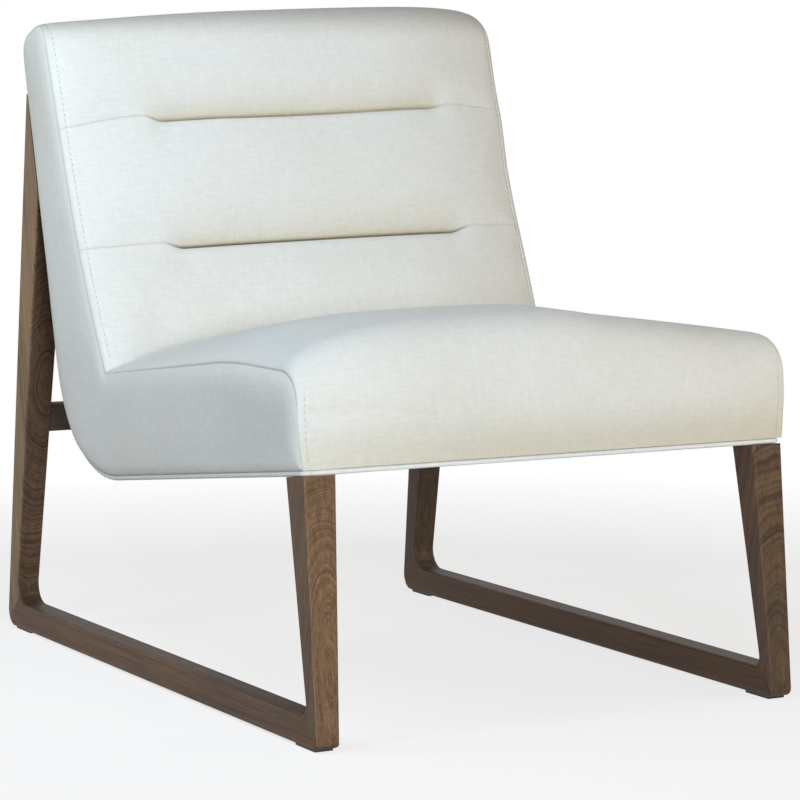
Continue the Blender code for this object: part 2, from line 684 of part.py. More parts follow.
def build_webbing():
    """Straps over the seat rails, and straps across the back posts."""
    start = FRONT_RAIL_ALONG - CROSS_RAIL_THICKNESS / 2
    length = HEEL_RAIL_ALONG + CROSS_RAIL_THICKNESS / 2 - start
    rise = FRAME_INSET + RAIL_HEIGHT + GAP + WEBBING_THICKNESS / 2
    span = 2 * (CROSS_HALF - STRAP_MARGIN) - WEBBING_WIDTH
    for index in range(SEAT_STRAPS):
        x = -span / 2 + span * index / (SEAT_STRAPS - 1)
        box(f"seat_strap_{index + 1}", (WEBBING_WIDTH, length, WEBBING_THICKNESS),
            place(x, seat_point(start + length / 2, rise)), -SEAT_PITCH, "webbing")
    depth = FRAME_INSET + POST_DEPTH + GAP + WEBBING_THICKNESS / 2
    low = HEEL_RADIUS + LOWER_BACK_RAIL_HEIGHT
    high = TOP_RAIL_ALONG - TOP_RAIL_HEIGHT
    back_straps = int((high - low) / BACK_STRAP_PITCH)
    for index in range(back_straps):
        along = low + (high - low) * (index + 0.5) / back_straps
        box(f"back_strap_{index + 1}", (2 * RAIL_OUTER, WEBBING_THICKNESS, WEBBING_WIDTH),
            place(0.0, back_point(along, depth)), -BACK_REAR_LEAN, "webbing")


# Soft forms

def crown_share(x):
    """How much of the crown stands at x: none at the side seams, all in the middle."""
    return max(0.0, 1.0 - (abs(x) / SEAM_HALF) ** CROWN_POWER) ** (1 / CROWN_POWER)


def section_places():
    """Places across the chair, closer together near the side seams."""
    half = CROWN_SECTIONS // 2
    return [SEAM_HALF * math.sin(math.pi / 2 * index / half) for index in range(-half, half + 1)]


def crease_corner(x):
    """Where the crowned seat and the crowned back meet at x."""
    share = crown_share(x)
    return meet(SEAT_TOP.inset(-SEAT_CROWN * share), BACK_FRONT.inset(-BACK_CROWN * share))


# The seat and the back meet on one plane, which leans forward from the crease's ends
CREASE_DIRECTION = (crease_corner(0.0) - CREASE_POINT).normalized()
SEAT_SIDE = Vector((-CREASE_DIRECTION.y, CREASE_DIRECTION.x))
CREASE_TAIL = CREASE_POINT - CREASE_DIRECTION * CREASE_TUCK
COVERED = COVER_THICKNESS + GAP
SEAT_FOAM_REAR = Edge(CREASE_POINT + SEAT_SIDE * (GAP / 2 + COVERED), SEAT_SIDE)
BACK_FOAM_REAR = Edge(CREASE_POINT - SEAT_SIDE * (GAP / 2 + COVERED), SEAT_SIDE)


def seat_path(x):
    """Outside of the seat cover at x: up the front, over the top, down into the crease."""
    share = crown_share(x)
    hem = UNDERSIDE.inset(WELT_DIAMETER + GAP)
    front = FRONT.inset(-FRONT_CROWN * share)
    nose = NOSE.inset(-SEAT_CROWN * share)
    top = SEAT_TOP.inset(-SEAT_CROWN * share)
    return rounded([
        (meet(FRONT, hem), 0.0),
        (meet(front, hem.inset(FRONT_CROWN_RISE)), FRONT_CROWN_RISE),
        (meet(front, nose), NOSE_RADIUS),
        (meet(nose, top), NOSE_BLEND_RADIUS),
        (crease_corner(x) + SEAT_SIDE * GAP / 2, CREASE_RADIUS),
        (CREASE_TAIL + SEAT_SIDE * GAP / 2, 0.0),
    ])


def back_path(x):
    """Outside of the inside back cover at x: out of the crease, up the front, over the top."""
    share = crown_share(x)
    front = BACK_FRONT.inset(-BACK_CROWN * share)
    top = TOP.inset(-BACK_TOP_CROWN * share)
    rear = REAR.inset(WELT_DIAMETER + GAP)
    corner = crease_corner(x) - SEAT_SIDE * GAP / 2
    head = meet(front, top)
    over_top = rounded([
        (corner, 0.0),
        (head, BACK_TOP_FRONT_RADIUS),
        (meet(top, rear), BACK_TOP_REAR_RADIUS),
        (meet(rear, COVER_HEM), 0.0),
    ])
    turn = rounded([
        (CREASE_TAIL - SEAT_SIDE * GAP / 2, 0.0),
        (corner, CREASE_RADIUS),
        (head, 0.0),
    ], ARC_STEPS // 2)
    return turn[:-1] + channelled(corner, turn[-2], over_top[1], x) + over_top[1:]


def channelled(corner, start, end, x):
    """Points up the inside back between the crease and the top corner, with both channels."""
    along = (end - corner).normalized()
    outward = Vector((-along.y, along.x))
    seam_shift = (corner - CREASE_POINT).dot(along)
    low = (start - corner).dot(along) + seam_shift
    high = (end - corner).dot(along) + seam_shift
    points = []
    for distance in channel_places(low, high):
        depth = channel_depth(distance, x)
        points.append(corner + along * (distance - seam_shift) - outward * depth)
    return points


def channel_places(low, high):
    """Distances up the back between two ends, packed round each channel."""
    around = (-3.5, -1.6, -0.6, -0.2, 0.0, 0.2, 0.6, 1.6, 3.5)
    clusters = [
        [centre + step * CHANNEL_PINCH_WIDTH for step in around]
        for centre in (LOWER_CHANNEL, UPPER_CHANNEL)
    ]
    places = between(low, clusters[0][0], 3) + clusters[0]
    places += between(clusters[0][-1], clusters[1][0], 4) + clusters[1]
    return places + between(clusters[1][-1], high, 3)


def between(low, high, parts):
    """The inner points that divide a stretch evenly."""
    return [low + (high - low) * index / parts for index in range(1, parts)]


def channel_depth(distance, x):
    """Depth of the sewn channels, fading to a plain seam near the sides."""
    fade = min(1.0, max(0.0, (CHANNEL_HALF_LENGTH - abs(x)) / CHANNEL_FADE))
    fade = fade * fade * (3 - 2 * fade)
    share = crown_share(x)
    total = 0.0
    for centre in (LOWER_CHANNEL, UPPER_CHANNEL):
        away = abs(distance - centre)
        total += fade * CHANNEL_PINCH * math.exp(-away / CHANNEL_PINCH_WIDTH)
        total += share * CHANNEL_SINK * math.exp(-(away / CHANNEL_SINK_WIDTH) ** 2)
        total += min(1.0, 4 * share) * SEAM_LINE_DEPTH * math.exp(-away / SEAM_LINE_WIDTH)
    return total


def build_cover_and_foam(kind, path_at, foam_floor):
    """A cover of even thickness, and the foam that fills it."""
    cover_sections = []
    foam_sections = []
    for x in section_places():
        outside = path_at(x)
        inside = offset_path(outside, -COVER_THICKNESS)
        filling = offset_path(outside, -COVERED)
        cover_sections.append([place(x, point) for point in outside + inside[::-1]])
        foam_sections.append([place(x, point) for point in filling + foam_floor])
    loft(kind + "_cover", cover_sections, "linen", len(cover_sections[0]) // 2)
    loft(kind + "_foam", foam_sections, "foam")


def build_soft_forms():
    pad_back = FRONT_OF_FRAME.inset(-GAP)
    hem = UNDERSIDE.inset(WELT_DIAMETER + GAP)
    build_cover_and_foam("seat", seat_path, [
        meet(SEAT_FOAM_REAR, SEAT_DECK),
        meet(pad_back, SEAT_DECK),
        meet(pad_back, hem),
    ])
    under_hem = POST_TOP.inset(-GAP)
    build_cover_and_foam("inside_back", back_path, [
        meet(BACK_DECK, under_hem),
        meet(BACK_DECK, SEAT_DECK),
        meet(BACK_FOAM_REAR, SEAT_DECK),
    ])


def seam_bulge(point):
    """How far a side seam stands out past the frame: nothing at the welts, more above them."""
    height = min(UNDERSIDE.normal.dot(point) - UNDERSIDE.offset, REAR.normal.dot(point) - REAR.offset)
    share = min(1.0, max(0.0, height / SEAM_BULGE_RISE))
    return SEAM_BULGE * math.sin(math.pi / 2 * share)


def build_side_covers():
    """One L-shaped panel a side: flat inside, gently full outside, ringed by its seams."""
    # Each ring: how far in from the panel's outline, and its share of the fullness
    rings = [(SIDE_COVER_ROLL * share, math.sin(math.pi / 2 * share)) for share in (0.0, 0.25, 0.6, 1.0)]
    for label, side in each_side():
        bm = bmesh.new()
        outline = shell_outline(WELT_DIAMETER + GAP, 0.0)
        loops = [[bm.verts.new(place(side * SIDE_COVER_INNER, point)) for point in outline]]
        for inset, share in rings:
            outline = shell_outline(WELT_DIAMETER + GAP + inset, inset)
            loop = []
            for point in outline:
                seam = FRAME_HALF + seam_bulge(point)
                x = seam + (FRAME_HALF + SIDE_COVER_BULGE - seam) * share
                loop.append(bm.verts.new(place(side * x, point)))
            loops.append(loop)
        count = len(loops[0])
        for loop, following in zip(loops, loops[1:]):
            for index in range(count):
                after = (index + 1) % count
                bm.faces.new((loop[index], loop[after], following[after], following[index]))
        bm.faces.new(loops[0])
        bm.faces.new(loops[-1])
        name = label + "_side_cover"
        add_object(name, mesh_from(bm, name), "linen", math.radians(60))


def build_outside_back():
    """The outside back: from the top welt down the back, round the heel, to its hem."""
    outer = FRAME_INSET - GAP - COVER_THICKNESS
    hem = Edge(seat_point(HEEL_HEM, 0.0), seat_direction())
    outline = []
    for depth in (outer, outer + COVER_THICKNESS):
        rear = REAR.inset(depth)
        low = UNDERSIDE.inset(depth)
        path = rounded([
            (meet(rear, POST_TOP), 0.0),
            (meet(rear, low), HEEL_RADIUS - depth),
            (meet(low, hem), 0.0),
        ])
        outline += path if depth == outer else path[::-1]
    name = "outside_back_cover"
    return add_object(name, mesh_from(prism(outline, -SEAM_HALF, SEAM_HALF), name), "linen")


def build_dust_cover():
    """The black cloth under the seat, from the front welt to the outside back's hem."""
    start = WELT_DIAMETER + GAP
    length = HEEL_HEM - GAP - start
    rise = FRAME_INSET - GAP - DUST_COVER_THICKNESS / 2
    return box("dust_cover", (2 * SEAM_HALF, length, DUST_COVER_THICKNESS),
               place(0.0, seat_point(start + length / 2, rise)), -SEAT_PITCH, "dust_cloth")


def tube(name, points, material="linen"):
    """A round welt along its points, as a curve with filled caps."""
    curve = bpy.data.curves.new(name, "CURVE")
    curve.dimensions = "3D"
    curve.bevel_depth = WELT_RADIUS
    curve.bevel_resolution = 2
    curve.use_fill_caps = True
    spline = curve.splines.new("POLY")
    spline.points.add(len(points) - 1)
    for target, point in zip(spline.points, points):
        target.co = (*point, 1.0)
    curve.materials.append(make_material(material))
    obj = bpy.data.objects.new(name, curve)
    collection(COLLECTION).objects.link(obj)
    return obj


def build_welts():
    """Welts: one a side from the front corner round to the back's top, one in front, one on top."""
    low = UNDERSIDE.inset(WELT_RADIUS)
    rear = REAR.inset(WELT_RADIUS)
    start = meet(FRONT.inset(WELT_RADIUS), low)
    along = rounded([
        (start + seat_direction() * WELT_TURN, 0.0),
        (meet(low, rear), HEEL_RADIUS - WELT_RADIUS),
        (meet(rear, WELT_LINE), 0.0),
    ])
    end = along.pop()
    for label, side in each_side():
        turn = []
        for step in range(WELT_STEPS + 1):
            angle = math.pi / 2 * step / WELT_STEPS
            x = WELT_HALF - WELT_TURN * (1 - math.sin(angle))
            turn.append(place(side * x, start + seat_direction() * WELT_TURN * (1 - math.cos(angle))))
        corner = place(side * (WELT_HALF - 2 * WELT_TURN), start)
        points = [corner] + turn + [place(side * WELT_HALF, point) for point in along[1:]]
        tube(label + "_welt", points + [place(side * WELT_HALF, end)])
    reach = WELT_HALF - 2 * WELT_TURN - GAP
    tube("front_welt", [place(-reach, start), place(reach, start)])
    tube("top_welt", [place(-SEAM_HALF, end), place(SEAM_HALF, end)])


# Fixings

def build_front_fixings(legs, rails, dust_cover):
    """A steel plate on each front leg, a bolt through it, and two screws into the rail."""
    frame_start = (meet(FRONT_OF_FRAME, RAIL_TOP) - UNDERSIDE_START).dot(seat_direction())
    bolt_along = frame_start + LEG_BOLT_RADIUS + LEG_BOLT_MARGIN
    middle = WELT_DIAMETER + GAP + PLATE_LENGTH / 2
    inner = FRAME_HALF - FRONT_LEG_TOP_WIDTH - PLATE_OVERHANG
    width = SEAM_HALF - inner
    for label, side in each_side():
        x = side * (SEAM_HALF + inner) / 2
        plate = box(label + "_leg_plate", (width, PLATE_LENGTH, PLATE_THICKNESS),
                    place(x, seat_point(middle, PLATE_THICKNESS / 2)), -SEAT_PITCH, "black_steel")
        rail = rails["side_rail", side]
        members = (plate, rail, dust_cover)
        for number, along in enumerate(PLATE_SCREW_ALONG, 1):
            add_pin(f"{label}_plate_screw_{number}", PLATE_SCREW_RADIUS,
                    place(side * RAIL_MIDDLE, seat_point(along, GAP)),
                    place(side * RAIL_MIDDLE, seat_point(along, PLATE_SCREW_LENGTH)), "zinc_steel", members,
                    mouth=PLATE_THICKNESS)
        add_pin(label + "_leg_bolt", LEG_BOLT_RADIUS,
                place(side * RAIL_MIDDLE, seat_point(bolt_along, -LEG_BOLT_IN_LEG)),
                place(side * RAIL_MIDDLE, seat_point(bolt_along, LEG_BOLT_IN_RAIL)), "zinc_steel",
                members + (legs[side],))


def build_rear_bolts(legs, posts, outside_back):
    """Two bolts through each back post into the rear leg, up from where the leg meets the back."""
    contact = meet(REAR_LEG_FRONT, LEG_BACK_FACE)
    for label, side in each_side():
        for number, along in enumerate(REAR_BOLTS_ALONG, 1):
            face = contact + lean_direction(BACK_REAR_LEAN) * along
            through = Edge(face, lean_direction(BACK_REAR_LEAN))
            leg_depth = (meet(LEG_REAR, through) - face).length
            start = face + REAR.normal * (FRAME_INSET + REAR_BOLT_IN_POST)
            end = face - REAR.normal * (leg_depth - REAR_BOLT_COVER)
            add_pin(f"{label}_rear_bolt_{number}", REAR_BOLT_RADIUS,
                    place(side * RAIL_MIDDLE, start), place(side * RAIL_MIDDLE, end), "zinc_steel",
                    (legs[side], posts["back_post", side], outside_back))


def main():
    clear_scene()
    frames = {side: build_side_frame(label, side) for label, side in each_side()}
    front_legs = {side: members[0] for side, members in frames.items()}
    rear_legs = {side: members[1] for side, members in frames.items()}
    build_glides()
    build_stretcher(rear_legs)
    rails = build_rails_and_posts()
    build_cross_rails()
    build_webbing()
    build_soft_forms()
    build_side_covers()
    outside_back = build_outside_back()
    dust_cover = build_dust_cover()
    build_welts()
    build_front_fixings(front_legs, rails, dust_cover)
    build_rear_bolts(rear_legs, rails, outside_back)


main()
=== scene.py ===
"""Looks for the occasional chair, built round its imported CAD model.

Metres, +Z up, the chair faces -Y. A side profile is written as (run, height): run is the
distance behind the front feet.
"""
import math

import bmesh
import bpy
import numpy as np
from mathutils import Matrix, Vector, noise


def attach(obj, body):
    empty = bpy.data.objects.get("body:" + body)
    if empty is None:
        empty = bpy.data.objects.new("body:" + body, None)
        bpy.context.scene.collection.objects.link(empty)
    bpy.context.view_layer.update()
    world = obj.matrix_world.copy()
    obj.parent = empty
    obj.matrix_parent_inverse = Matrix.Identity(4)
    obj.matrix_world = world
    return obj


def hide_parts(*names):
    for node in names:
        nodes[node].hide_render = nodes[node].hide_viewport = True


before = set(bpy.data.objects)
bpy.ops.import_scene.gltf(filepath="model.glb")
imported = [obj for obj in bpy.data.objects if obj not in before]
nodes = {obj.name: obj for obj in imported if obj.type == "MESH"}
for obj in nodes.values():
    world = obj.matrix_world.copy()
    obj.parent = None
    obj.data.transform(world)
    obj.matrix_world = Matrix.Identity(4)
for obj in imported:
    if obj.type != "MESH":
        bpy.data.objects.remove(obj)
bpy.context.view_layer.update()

# Sizes, the same as in the CAD
FRAME_HALF = 0.620 / 2
FRAME_DEPTH = 0.884
GAP = 0.0003
WELT_DIAMETER = 0.0065
WELT_RADIUS = WELT_DIAMETER / 2
WELT_HALF = FRAME_HALF - WELT_RADIUS
PANEL_INNER = FRAME_HALF - WELT_DIAMETER
SEAT_NOSE_HEIGHT = 0.4056
SEAT_NOSE_DROP = 0.021
SEAT_SIDE_HEIGHT = 0.130
SEAT_PITCH = math.radians(7.13)
SEAT_FRONT_RUN = 0.029
SEAT_FRONT_LEAN = math.radians(5.5)
UNDERSIDE_FRONT_HEIGHT = SEAT_NOSE_HEIGHT + SEAT_NOSE_DROP - SEAT_SIDE_HEIGHT / math.cos(SEAT_PITCH)
HEEL_BEFORE_REAR = 0.2135
CREASE_BEFORE_HEEL = 0.0991
HEEL_RUN = FRAME_DEPTH - HEEL_BEFORE_REAR
CREASE_RUN = HEEL_RUN - CREASE_BEFORE_HEEL
BACK_FRONT_LEAN = math.radians(20.7)
BACK_REAR_LEAN = math.radians(14.5)
BACK_SEAM_RISE = 0.3784
BACK_SEAM_HEIGHT = SEAT_NOSE_HEIGHT + BACK_SEAM_RISE
HEEL_RADIUS = 0.166
BACK_TOP_REAR_RADIUS = 0.038
NOSE_RADIUS = 0.060
CROSS_RAIL_THICKNESS = 0.025

# Seams and edges of the covers
SIDES = (("left", -1), ("right", 1))
SEAM_LAP = 0.0004
SEAM_NOSE_RADIUS = 0.036
SEAT_BLEND_RADIUS = 0.9
CREASE_RADIUS = 0.014
CREASE_TUCK = 0.045
SEAM_ROLL = 0.0013
SEAM_ROLL_REACH = 0.0030
# Width of the painted shade line along the seams
SEAM_SHADE_WIDTH = 0.0012
SEAM_FORWARD = 0.0045
HEM_FORWARD = 0.0025
STITCH_OFFSET = 0.0082
STITCH_SINK = 0.0009
STITCH_SINK_REACH = 0.0011
SHARP_TURN = math.radians(50)

# Fullness of the upholstery. Pairs are the heights between which a form comes or goes, and forms
# are the powers that fullness takes.
SEAM_BULGE = 0.0045
SEAM_BULGE_RISE = 0.060
HEAD_BULGE = 0.005
HEAD_BULGE_COMES = (0.58, 0.67)
HEAD_BULGE_GOES = (0.785, 0.835)
HEAD_CORNER_BULGE = 0.0032
HEAD_CORNER_COMES = (0.69, 0.77)
RIGHT_SEAT_BULGE = 0.002
RIGHT_SEAT_GOES = (0.45, 0.55)
RIGHT_SLOPE = 0.74
RIGHT_SLOPE_POWER = 1.15
RIGHT_SLOPE_COMES = (0.0, 0.35)
RIGHT_EDGE_POWER = 60
SEAT_CROWN = 0.052
BACK_CROWN = 0.030
TOP_CROWN = 0.018
FRONT_CROWN = 0.009
NOSE_FORM = (3.0, 1.7)
SEAT_FORM = (2.8, 1.6)
FRONT_FORM = (2.6, 2.2)
BACK_FORM = (2.5, 2.2)
CREASE_FORM = (1.7, 1.25)


# Profile geometry in (run, height)

def place(x, point):
    return Vector((x, point[0] - FRAME_DEPTH / 2, point[1]))


class Edge:
    """A straight side of a profile: its inward normal and its distance along that from the origin."""

    def __init__(self, point, normal):
        self.normal = Vector(normal).normalized()
        self.offset = self.normal.dot(Vector(point))

    def inset(self, distance):
        moved = Edge((0.0, 0.0), self.normal)
        moved.offset = self.offset + distance
        return moved

    def depth_of(self, point):
        return self.normal.dot(point) - self.offset


def upright(run):
    return Edge((run, 0.0), (1.0, 0.0))


def meet(first, second):
    """The point where two edges cross."""
    a, b = first.normal
    c, d = second.normal
    scale = 1.0 / (a * d - b * c)
    return Vector((
        (d * first.offset - b * second.offset) * scale,
        (a * second.offset - c * first.offset) * scale,
    ))


def divided(first, second, count):
    """Points that divide a straight line into count parts, both ends included."""
    return [first.lerp(second, step / count) for step in range(count + 1)]


def arc(before, point, after, radius, steps):
    """Points round a corner of a profile, its radius limited by both sides."""
    to_before = before - point
    to_after = after - point
    inner = to_before.angle(to_after)
    reach = radius / math.tan(inner / 2)
    reach = max(0.004, min(reach, 0.49 * to_before.length, 0.49 * to_after.length))
    start = point + to_before.normalized() * reach
    end = point + to_after.normalized() * reach
    if math.pi - inner < math.radians(0.5):
        return divided(start, end, steps)
    radius = reach * math.tan(inner / 2)
    bisector = (to_before.normalized() + to_after.normalized()).normalized()
    centre = point + bisector * (radius / math.sin(inner / 2))
    spoke = start - centre
    turn = spoke.angle_signed(end - centre)
    return [centre + Matrix.Rotation(-turn * step / steps, 2) @ spoke for step in range(steps + 1)]


def dense_path(corners, straights):
    """An open path through (point, radius, steps) corners with a fixed count on each straight."""
    pieces = []
    for index, (point, radius, steps) in enumerate(corners):
        if radius <= 0.0:
            pieces.append([point.copy()])
        else:
            pieces.append(arc(corners[index - 1][0], point, corners[index + 1][0], radius, steps))
    path = pieces[0]
    for before, piece, count in zip(pieces, pieces[1:], straights):
        path = path + divided(before[-1], piece[0], count)[1:-1] + piece
    return path


def arc_lengths(points):
    """Distance along a path at each of its points."""
    total = 0.0
    lengths = [0.0]
    for first, second in zip(points, points[1:]):
        total += (second - first).length
        lengths.append(total)
    return lengths


def tangent_at(path, index):
    return (path[min(index + 1, len(path) - 1)] - path[max(index - 1, 0)]).normalized()


def outward_at(path, index):
    along = tangent_at(path, index)
    return Vector((-along.y, along.x))


SHELL_START = (SEAT_FRONT_RUN, UNDERSIDE_FRONT_HEIGHT)
UNDERSIDE = Edge(SHELL_START, (math.sin(SEAT_PITCH), math.cos(SEAT_PITCH)))
FRONT = Edge(SHELL_START, (math.cos(SEAT_FRONT_LEAN), -math.sin(SEAT_FRONT_LEAN)))
NOSE = Edge((0.0, SEAT_NOSE_HEIGHT), (0.0, -1.0))
SEAT_TOP = Edge((0.0, 0.0), -UNDERSIDE.normal)
SEAT_TOP.offset = -(UNDERSIDE.offset + SEAT_SIDE_HEIGHT)
SEAT_ALONG = Vector((math.cos(SEAT_PITCH), -math.sin(SEAT_PITCH)))
CREASE_POINT = meet(SEAT_TOP, upright(CREASE_RUN))
BACK_FRONT = Edge(CREASE_POINT, (math.cos(BACK_FRONT_LEAN), -math.sin(BACK_FRONT_LEAN)))
BACK_ALONG = Vector((math.sin(BACK_FRONT_LEAN), math.cos(BACK_FRONT_LEAN)))
HEEL_POINT = meet(UNDERSIDE, upright(HEEL_RUN))
REAR = Edge(HEEL_POINT, (-math.cos(BACK_REAR_LEAN), math.sin(BACK_REAR_LEAN)))
TOP_TILT = (BACK_FRONT_LEAN + BACK_REAR_LEAN) / 2
BACK_SEAM_TOP = meet(BACK_FRONT, Edge((0.0, BACK_SEAM_HEIGHT), (0.0, 1.0)))
TOP = Edge(BACK_SEAM_TOP, (-math.sin(TOP_TILT), -math.cos(TOP_TILT)))
UNDERSIDE_START = meet(FRONT, UNDERSIDE)
HEM = UNDERSIDE.inset(WELT_DIAMETER - SEAM_LAP)
COVER_HEM = TOP.inset(BACK_TOP_REAR_RADIUS + 2 * GAP)
WELT_LINE = COVER_HEM.inset(WELT_RADIUS + GAP)


# Shares

def smoothstep(low, high, value):
    share = min(1.0, max(0.0, (value - low) / (high - low)))
    return share * share * (3 - 2 * share)


def fades(low, high, value):
    return 1 - smoothstep(low, high, value)


def mix(first, second, share):
    return first + (second - first) * share


def bell(distance, reach):
    return math.exp(-(distance / reach) ** 2)


def rolled(distance, reach):
    """Drop of a rounded edge: 1 at the edge itself and 0 from reach on."""
    if distance >= reach:
        return 0.0
    rest = 1 - distance / reach
    return 1 - math.sqrt(max(0.0, 1 - rest * rest))


def fullness(s, power, root):
    """How much of a crown stands at s, which runs from -1 to 1 between the side seams."""
    return max(0.0, 1.0 - abs(s) ** power) ** (1.0 / root)


def seat_share(s, power, root):
    """The seat's crown: it slopes off evenly to the right and stays full to the left."""
    if s < 0:
        return fullness(s, power, root)
    slope = RIGHT_SLOPE * s ** RIGHT_SLOPE_POWER * smoothstep(*RIGHT_SLOPE_COMES, s)
    return (1.0 - slope) * math.sqrt(max(0.0, 1.0 - s ** RIGHT_EDGE_POWER))


def seam_half(point, side):
    """Half the width across the seams at a place on the profile: fuller away from the welts."""
    share = min(1.0, max(0.0, min(UNDERSIDE.depth_of(point), REAR.depth_of(point)) / SEAM_BULGE_RISE))
    half = FRAME_HALF + SEAM_BULGE * math.sin(math.pi / 2 * share)
    if side > 0:
        height = point[1]
        beside_head = HEAD_BULGE * share * smoothstep(*HEAD_BULGE_COMES, height)
        half += beside_head * fades(*HEAD_BULGE_GOES, height)
        half += HEAD_CORNER_BULGE * share * smoothstep(*HEAD_CORNER_COMES, height)
        half += RIGHT_SEAT_BULGE * share * fades(*RIGHT_SEAT_GOES, height)
    return half


def seam_dip(distance):
    """How far the cover dips towards a side seam."""
    return SEAM_ROLL * rolled(distance, SEAM_ROLL_REACH)


def stitch_dip(distance):
    return STITCH_SINK * bell(distance - STITCH_OFFSET, STITCH_SINK_REACH)


def soft_noise(point, size, seed):
    return noise.noise(Vector((point[0] / size + seed, point[1] / size - seed, point[2] / size)))


# Meshes

def add_object(name, data):
    obj = bpy.data.objects.new(name, data)
    bpy.context.scene.collection.objects.link(obj)
    return obj


def finish_mesh(name, bm):
    mesh = bpy.data.meshes.new(name)
    bm.to_mesh(mesh)
    bm.free()
    return add_object(name, mesh)


def crease_sharply(bm):
    """Edges where faces turn sharply, such as a cover's hidden ends, don't share their shading."""
    bm.normal_update()
    for edge in bm.edges:
        if edge.calc_face_angle(0.0) > SHARP_TURN:
            edge.smooth = False


def grid_mesh(name, rows, uvs, closed=False, marks=()):
    """A mesh through rows of points, open or a closed tube with capped ends, with UVs in metres. Marks
    are its painted shade (the seam attribute) and its painted warm shade, by point."""
    bm = bmesh.new()
    uv_layer = bm.loops.layers.uv.new("UVMap")
    # Two attributes of painted shade: the seam attribute, and a warm one
    painted_shade_layer = bm.verts.layers.float.new("seam")
    painted_warm_shade_layer = bm.verts.layers.float.new("fold")
    verts = [[bm.verts.new(point) for point in row] for row in rows]
    for line, values in zip(verts, marks):
        for vert, (seam, fold) in zip(line, values):
            vert[painted_shade_layer] = seam
            vert[painted_warm_shade_layer] = fold
    place_of = {}
    for line, line_uvs in zip(verts, uvs):
        place_of.update(zip(line, line_uvs))
    for line, beside in zip(verts, verts[1:]):
        count = len(line)
        for j in range(count if closed else count - 1):
            after = (j + 1) % count
            bm.faces.new((line[j], line[after], beside[after], beside[j]))
    if closed:
        bm.faces.new(verts[0][::-1])
        bm.faces.new(verts[-1])
    bmesh.ops.recalc_face_normals(bm, faces=bm.faces)
    for face in bm.faces:
        face.smooth = True
        for loop in face.loops:
            loop[uv_layer].uv = place_of[loop.vert]
    crease_sharply(bm)
    return finish_mesh(name, bm)


# Cloth simulation

CLOTH_SETTINGS = {
    "quality": 6,
    "mass": 0.3,
    "tension_stiffness": 30.0,
    "compression_stiffness": 30.0,
    "shear_stiffness": 7.5,
    "bending_stiffness": 3.0,
    "vertex_group_mass": "held",
    "pin_stiffness": 0.6,
    "use_pressure": True,
}
CLOTH_CELL = 0.0075
CLOTH_FRAMES = 20
CLOTH_CAP = 0.008
CLOTH_KEEP_FORM = 0.85
CLOTH_FORM_CELLS = 8


def grid_places(points, axis):
    """Running position of each line of a grid along one axis, from the mean distances, in metres."""
    steps = np.linalg.norm(np.diff(points, axis=axis), axis=2).mean(axis=1 - axis)
    return np.concatenate([[0.0], np.cumsum(steps)])


def regrid(values, old, new):
    """Values of a grid interpolated at other positions, given as (across, along) pairs of arrays."""
    lows = []
    shares = []
    for before, after in zip(old, new):
        low = np.clip(np.searchsorted(before, after, side="right") - 1, 0, len(before) - 2)
        lows.append(low)
        shares.append((after - before[low]) / np.maximum(before[low + 1] - before[low], 1e-12))
    i, j = np.meshgrid(*lows, indexing="ij")
    a, b = [share[..., None] for share in np.meshgrid(*shares, indexing="ij")]
    near = values[i, j] * (1 - b) + values[i, j + 1] * b
    far = values[i + 1, j] * (1 - b) + values[i + 1, j + 1] * b
    return near * (1 - a) + far * a


def blurred(values, reach):
    """A grid of vectors averaged over reach cells each way."""
    kernel = np.exp(-(np.arange(-2 * reach, 2 * reach + 1) / reach) ** 2)
    kernel /= kernel.sum()
    for axis in (0, 1):
        pad = [(0, 0)] * 3
        pad[axis] = (2 * reach, 2 * reach)
        wide = np.pad(values, pad, mode="reflect")
        values = np.apply_along_axis(lambda line: np.convolve(line, kernel, mode="valid"), axis, wide)
    return values


def simulate(points, grips, pressure, excess):
    """An even grid of points after a run of Blender's cloth, held by grips from 0 to 1."""
    count, length = points.shape[:2]
    index = np.arange(count * length).reshape(count, length)
    faces = np.stack([index[:-1, :-1], index[1:, :-1], index[1:, 1:], index[:-1, 1:]], axis=-1)
    mesh = bpy.data.meshes.new("cloth_trial")
    mesh.from_pydata(points.reshape(-1, 3).tolist(), [], faces.reshape(-1, 4).tolist())
    trial = add_object("cloth_trial", mesh)
    group = trial.vertex_groups.new(name="held")
    for vertex, grip in enumerate(grips.reshape(-1)):
        group.add([vertex], float(grip), "REPLACE")
    cloth = trial.modifiers.new("Cloth", "CLOTH")
    for key, value in CLOTH_SETTINGS.items():
        setattr(cloth.settings, key, value)
    cloth.settings.uniform_pressure_force = pressure
    cloth.settings.shrink_min = -excess
    cloth.settings.effector_weights.gravity = 0.0
    cloth.collision_settings.use_collision = False
    for frame_number in range(1, CLOTH_FRAMES + 1):
        bpy.context.scene.frame_set(frame_number)
    shown = trial.evaluated_get(bpy.context.evaluated_depsgraph_get())
    moved = np.array([tuple(vertex.co) for vertex in shown.data.vertices]).reshape(count, length, 3)
    bpy.context.scene.frame_set(1)
    bpy.data.objects.remove(trial)
    bpy.data.meshes.remove(mesh)
    return moved


def settle(rows, grips, pressure, excess):
    """A cover's rows after its cloth has settled: held along its seams, pressed out from inside."""
    fine = np.array([[tuple(point) for point in row] for row in rows])
    places = (grid_places(fine, 0), grid_places(fine, 1))
    even = tuple(np.linspace(0.0, place[-1], int(place[-1] / CLOTH_CELL) + 1) for place in places)
    coarse = regrid(fine, places, even)
    held = np.clip(regrid(np.array(grips)[..., None], places, even)[..., 0], 0.0, 1.0)
    shift = simulate(coarse, held, pressure, excess) - coarse
    shift -= CLOTH_KEEP_FORM * blurred(shift, CLOTH_FORM_CELLS)
    size = np.linalg.norm(shift, axis=2, keepdims=True)
    shift *= np.minimum(1.0, CLOTH_CAP / np.maximum(size, 1e-9))
    shift *= (1 - held)[..., None] ** 0.5
    fine += regrid(shift, even, places)
    return [[Vector(point) for point in row] for row in fine]


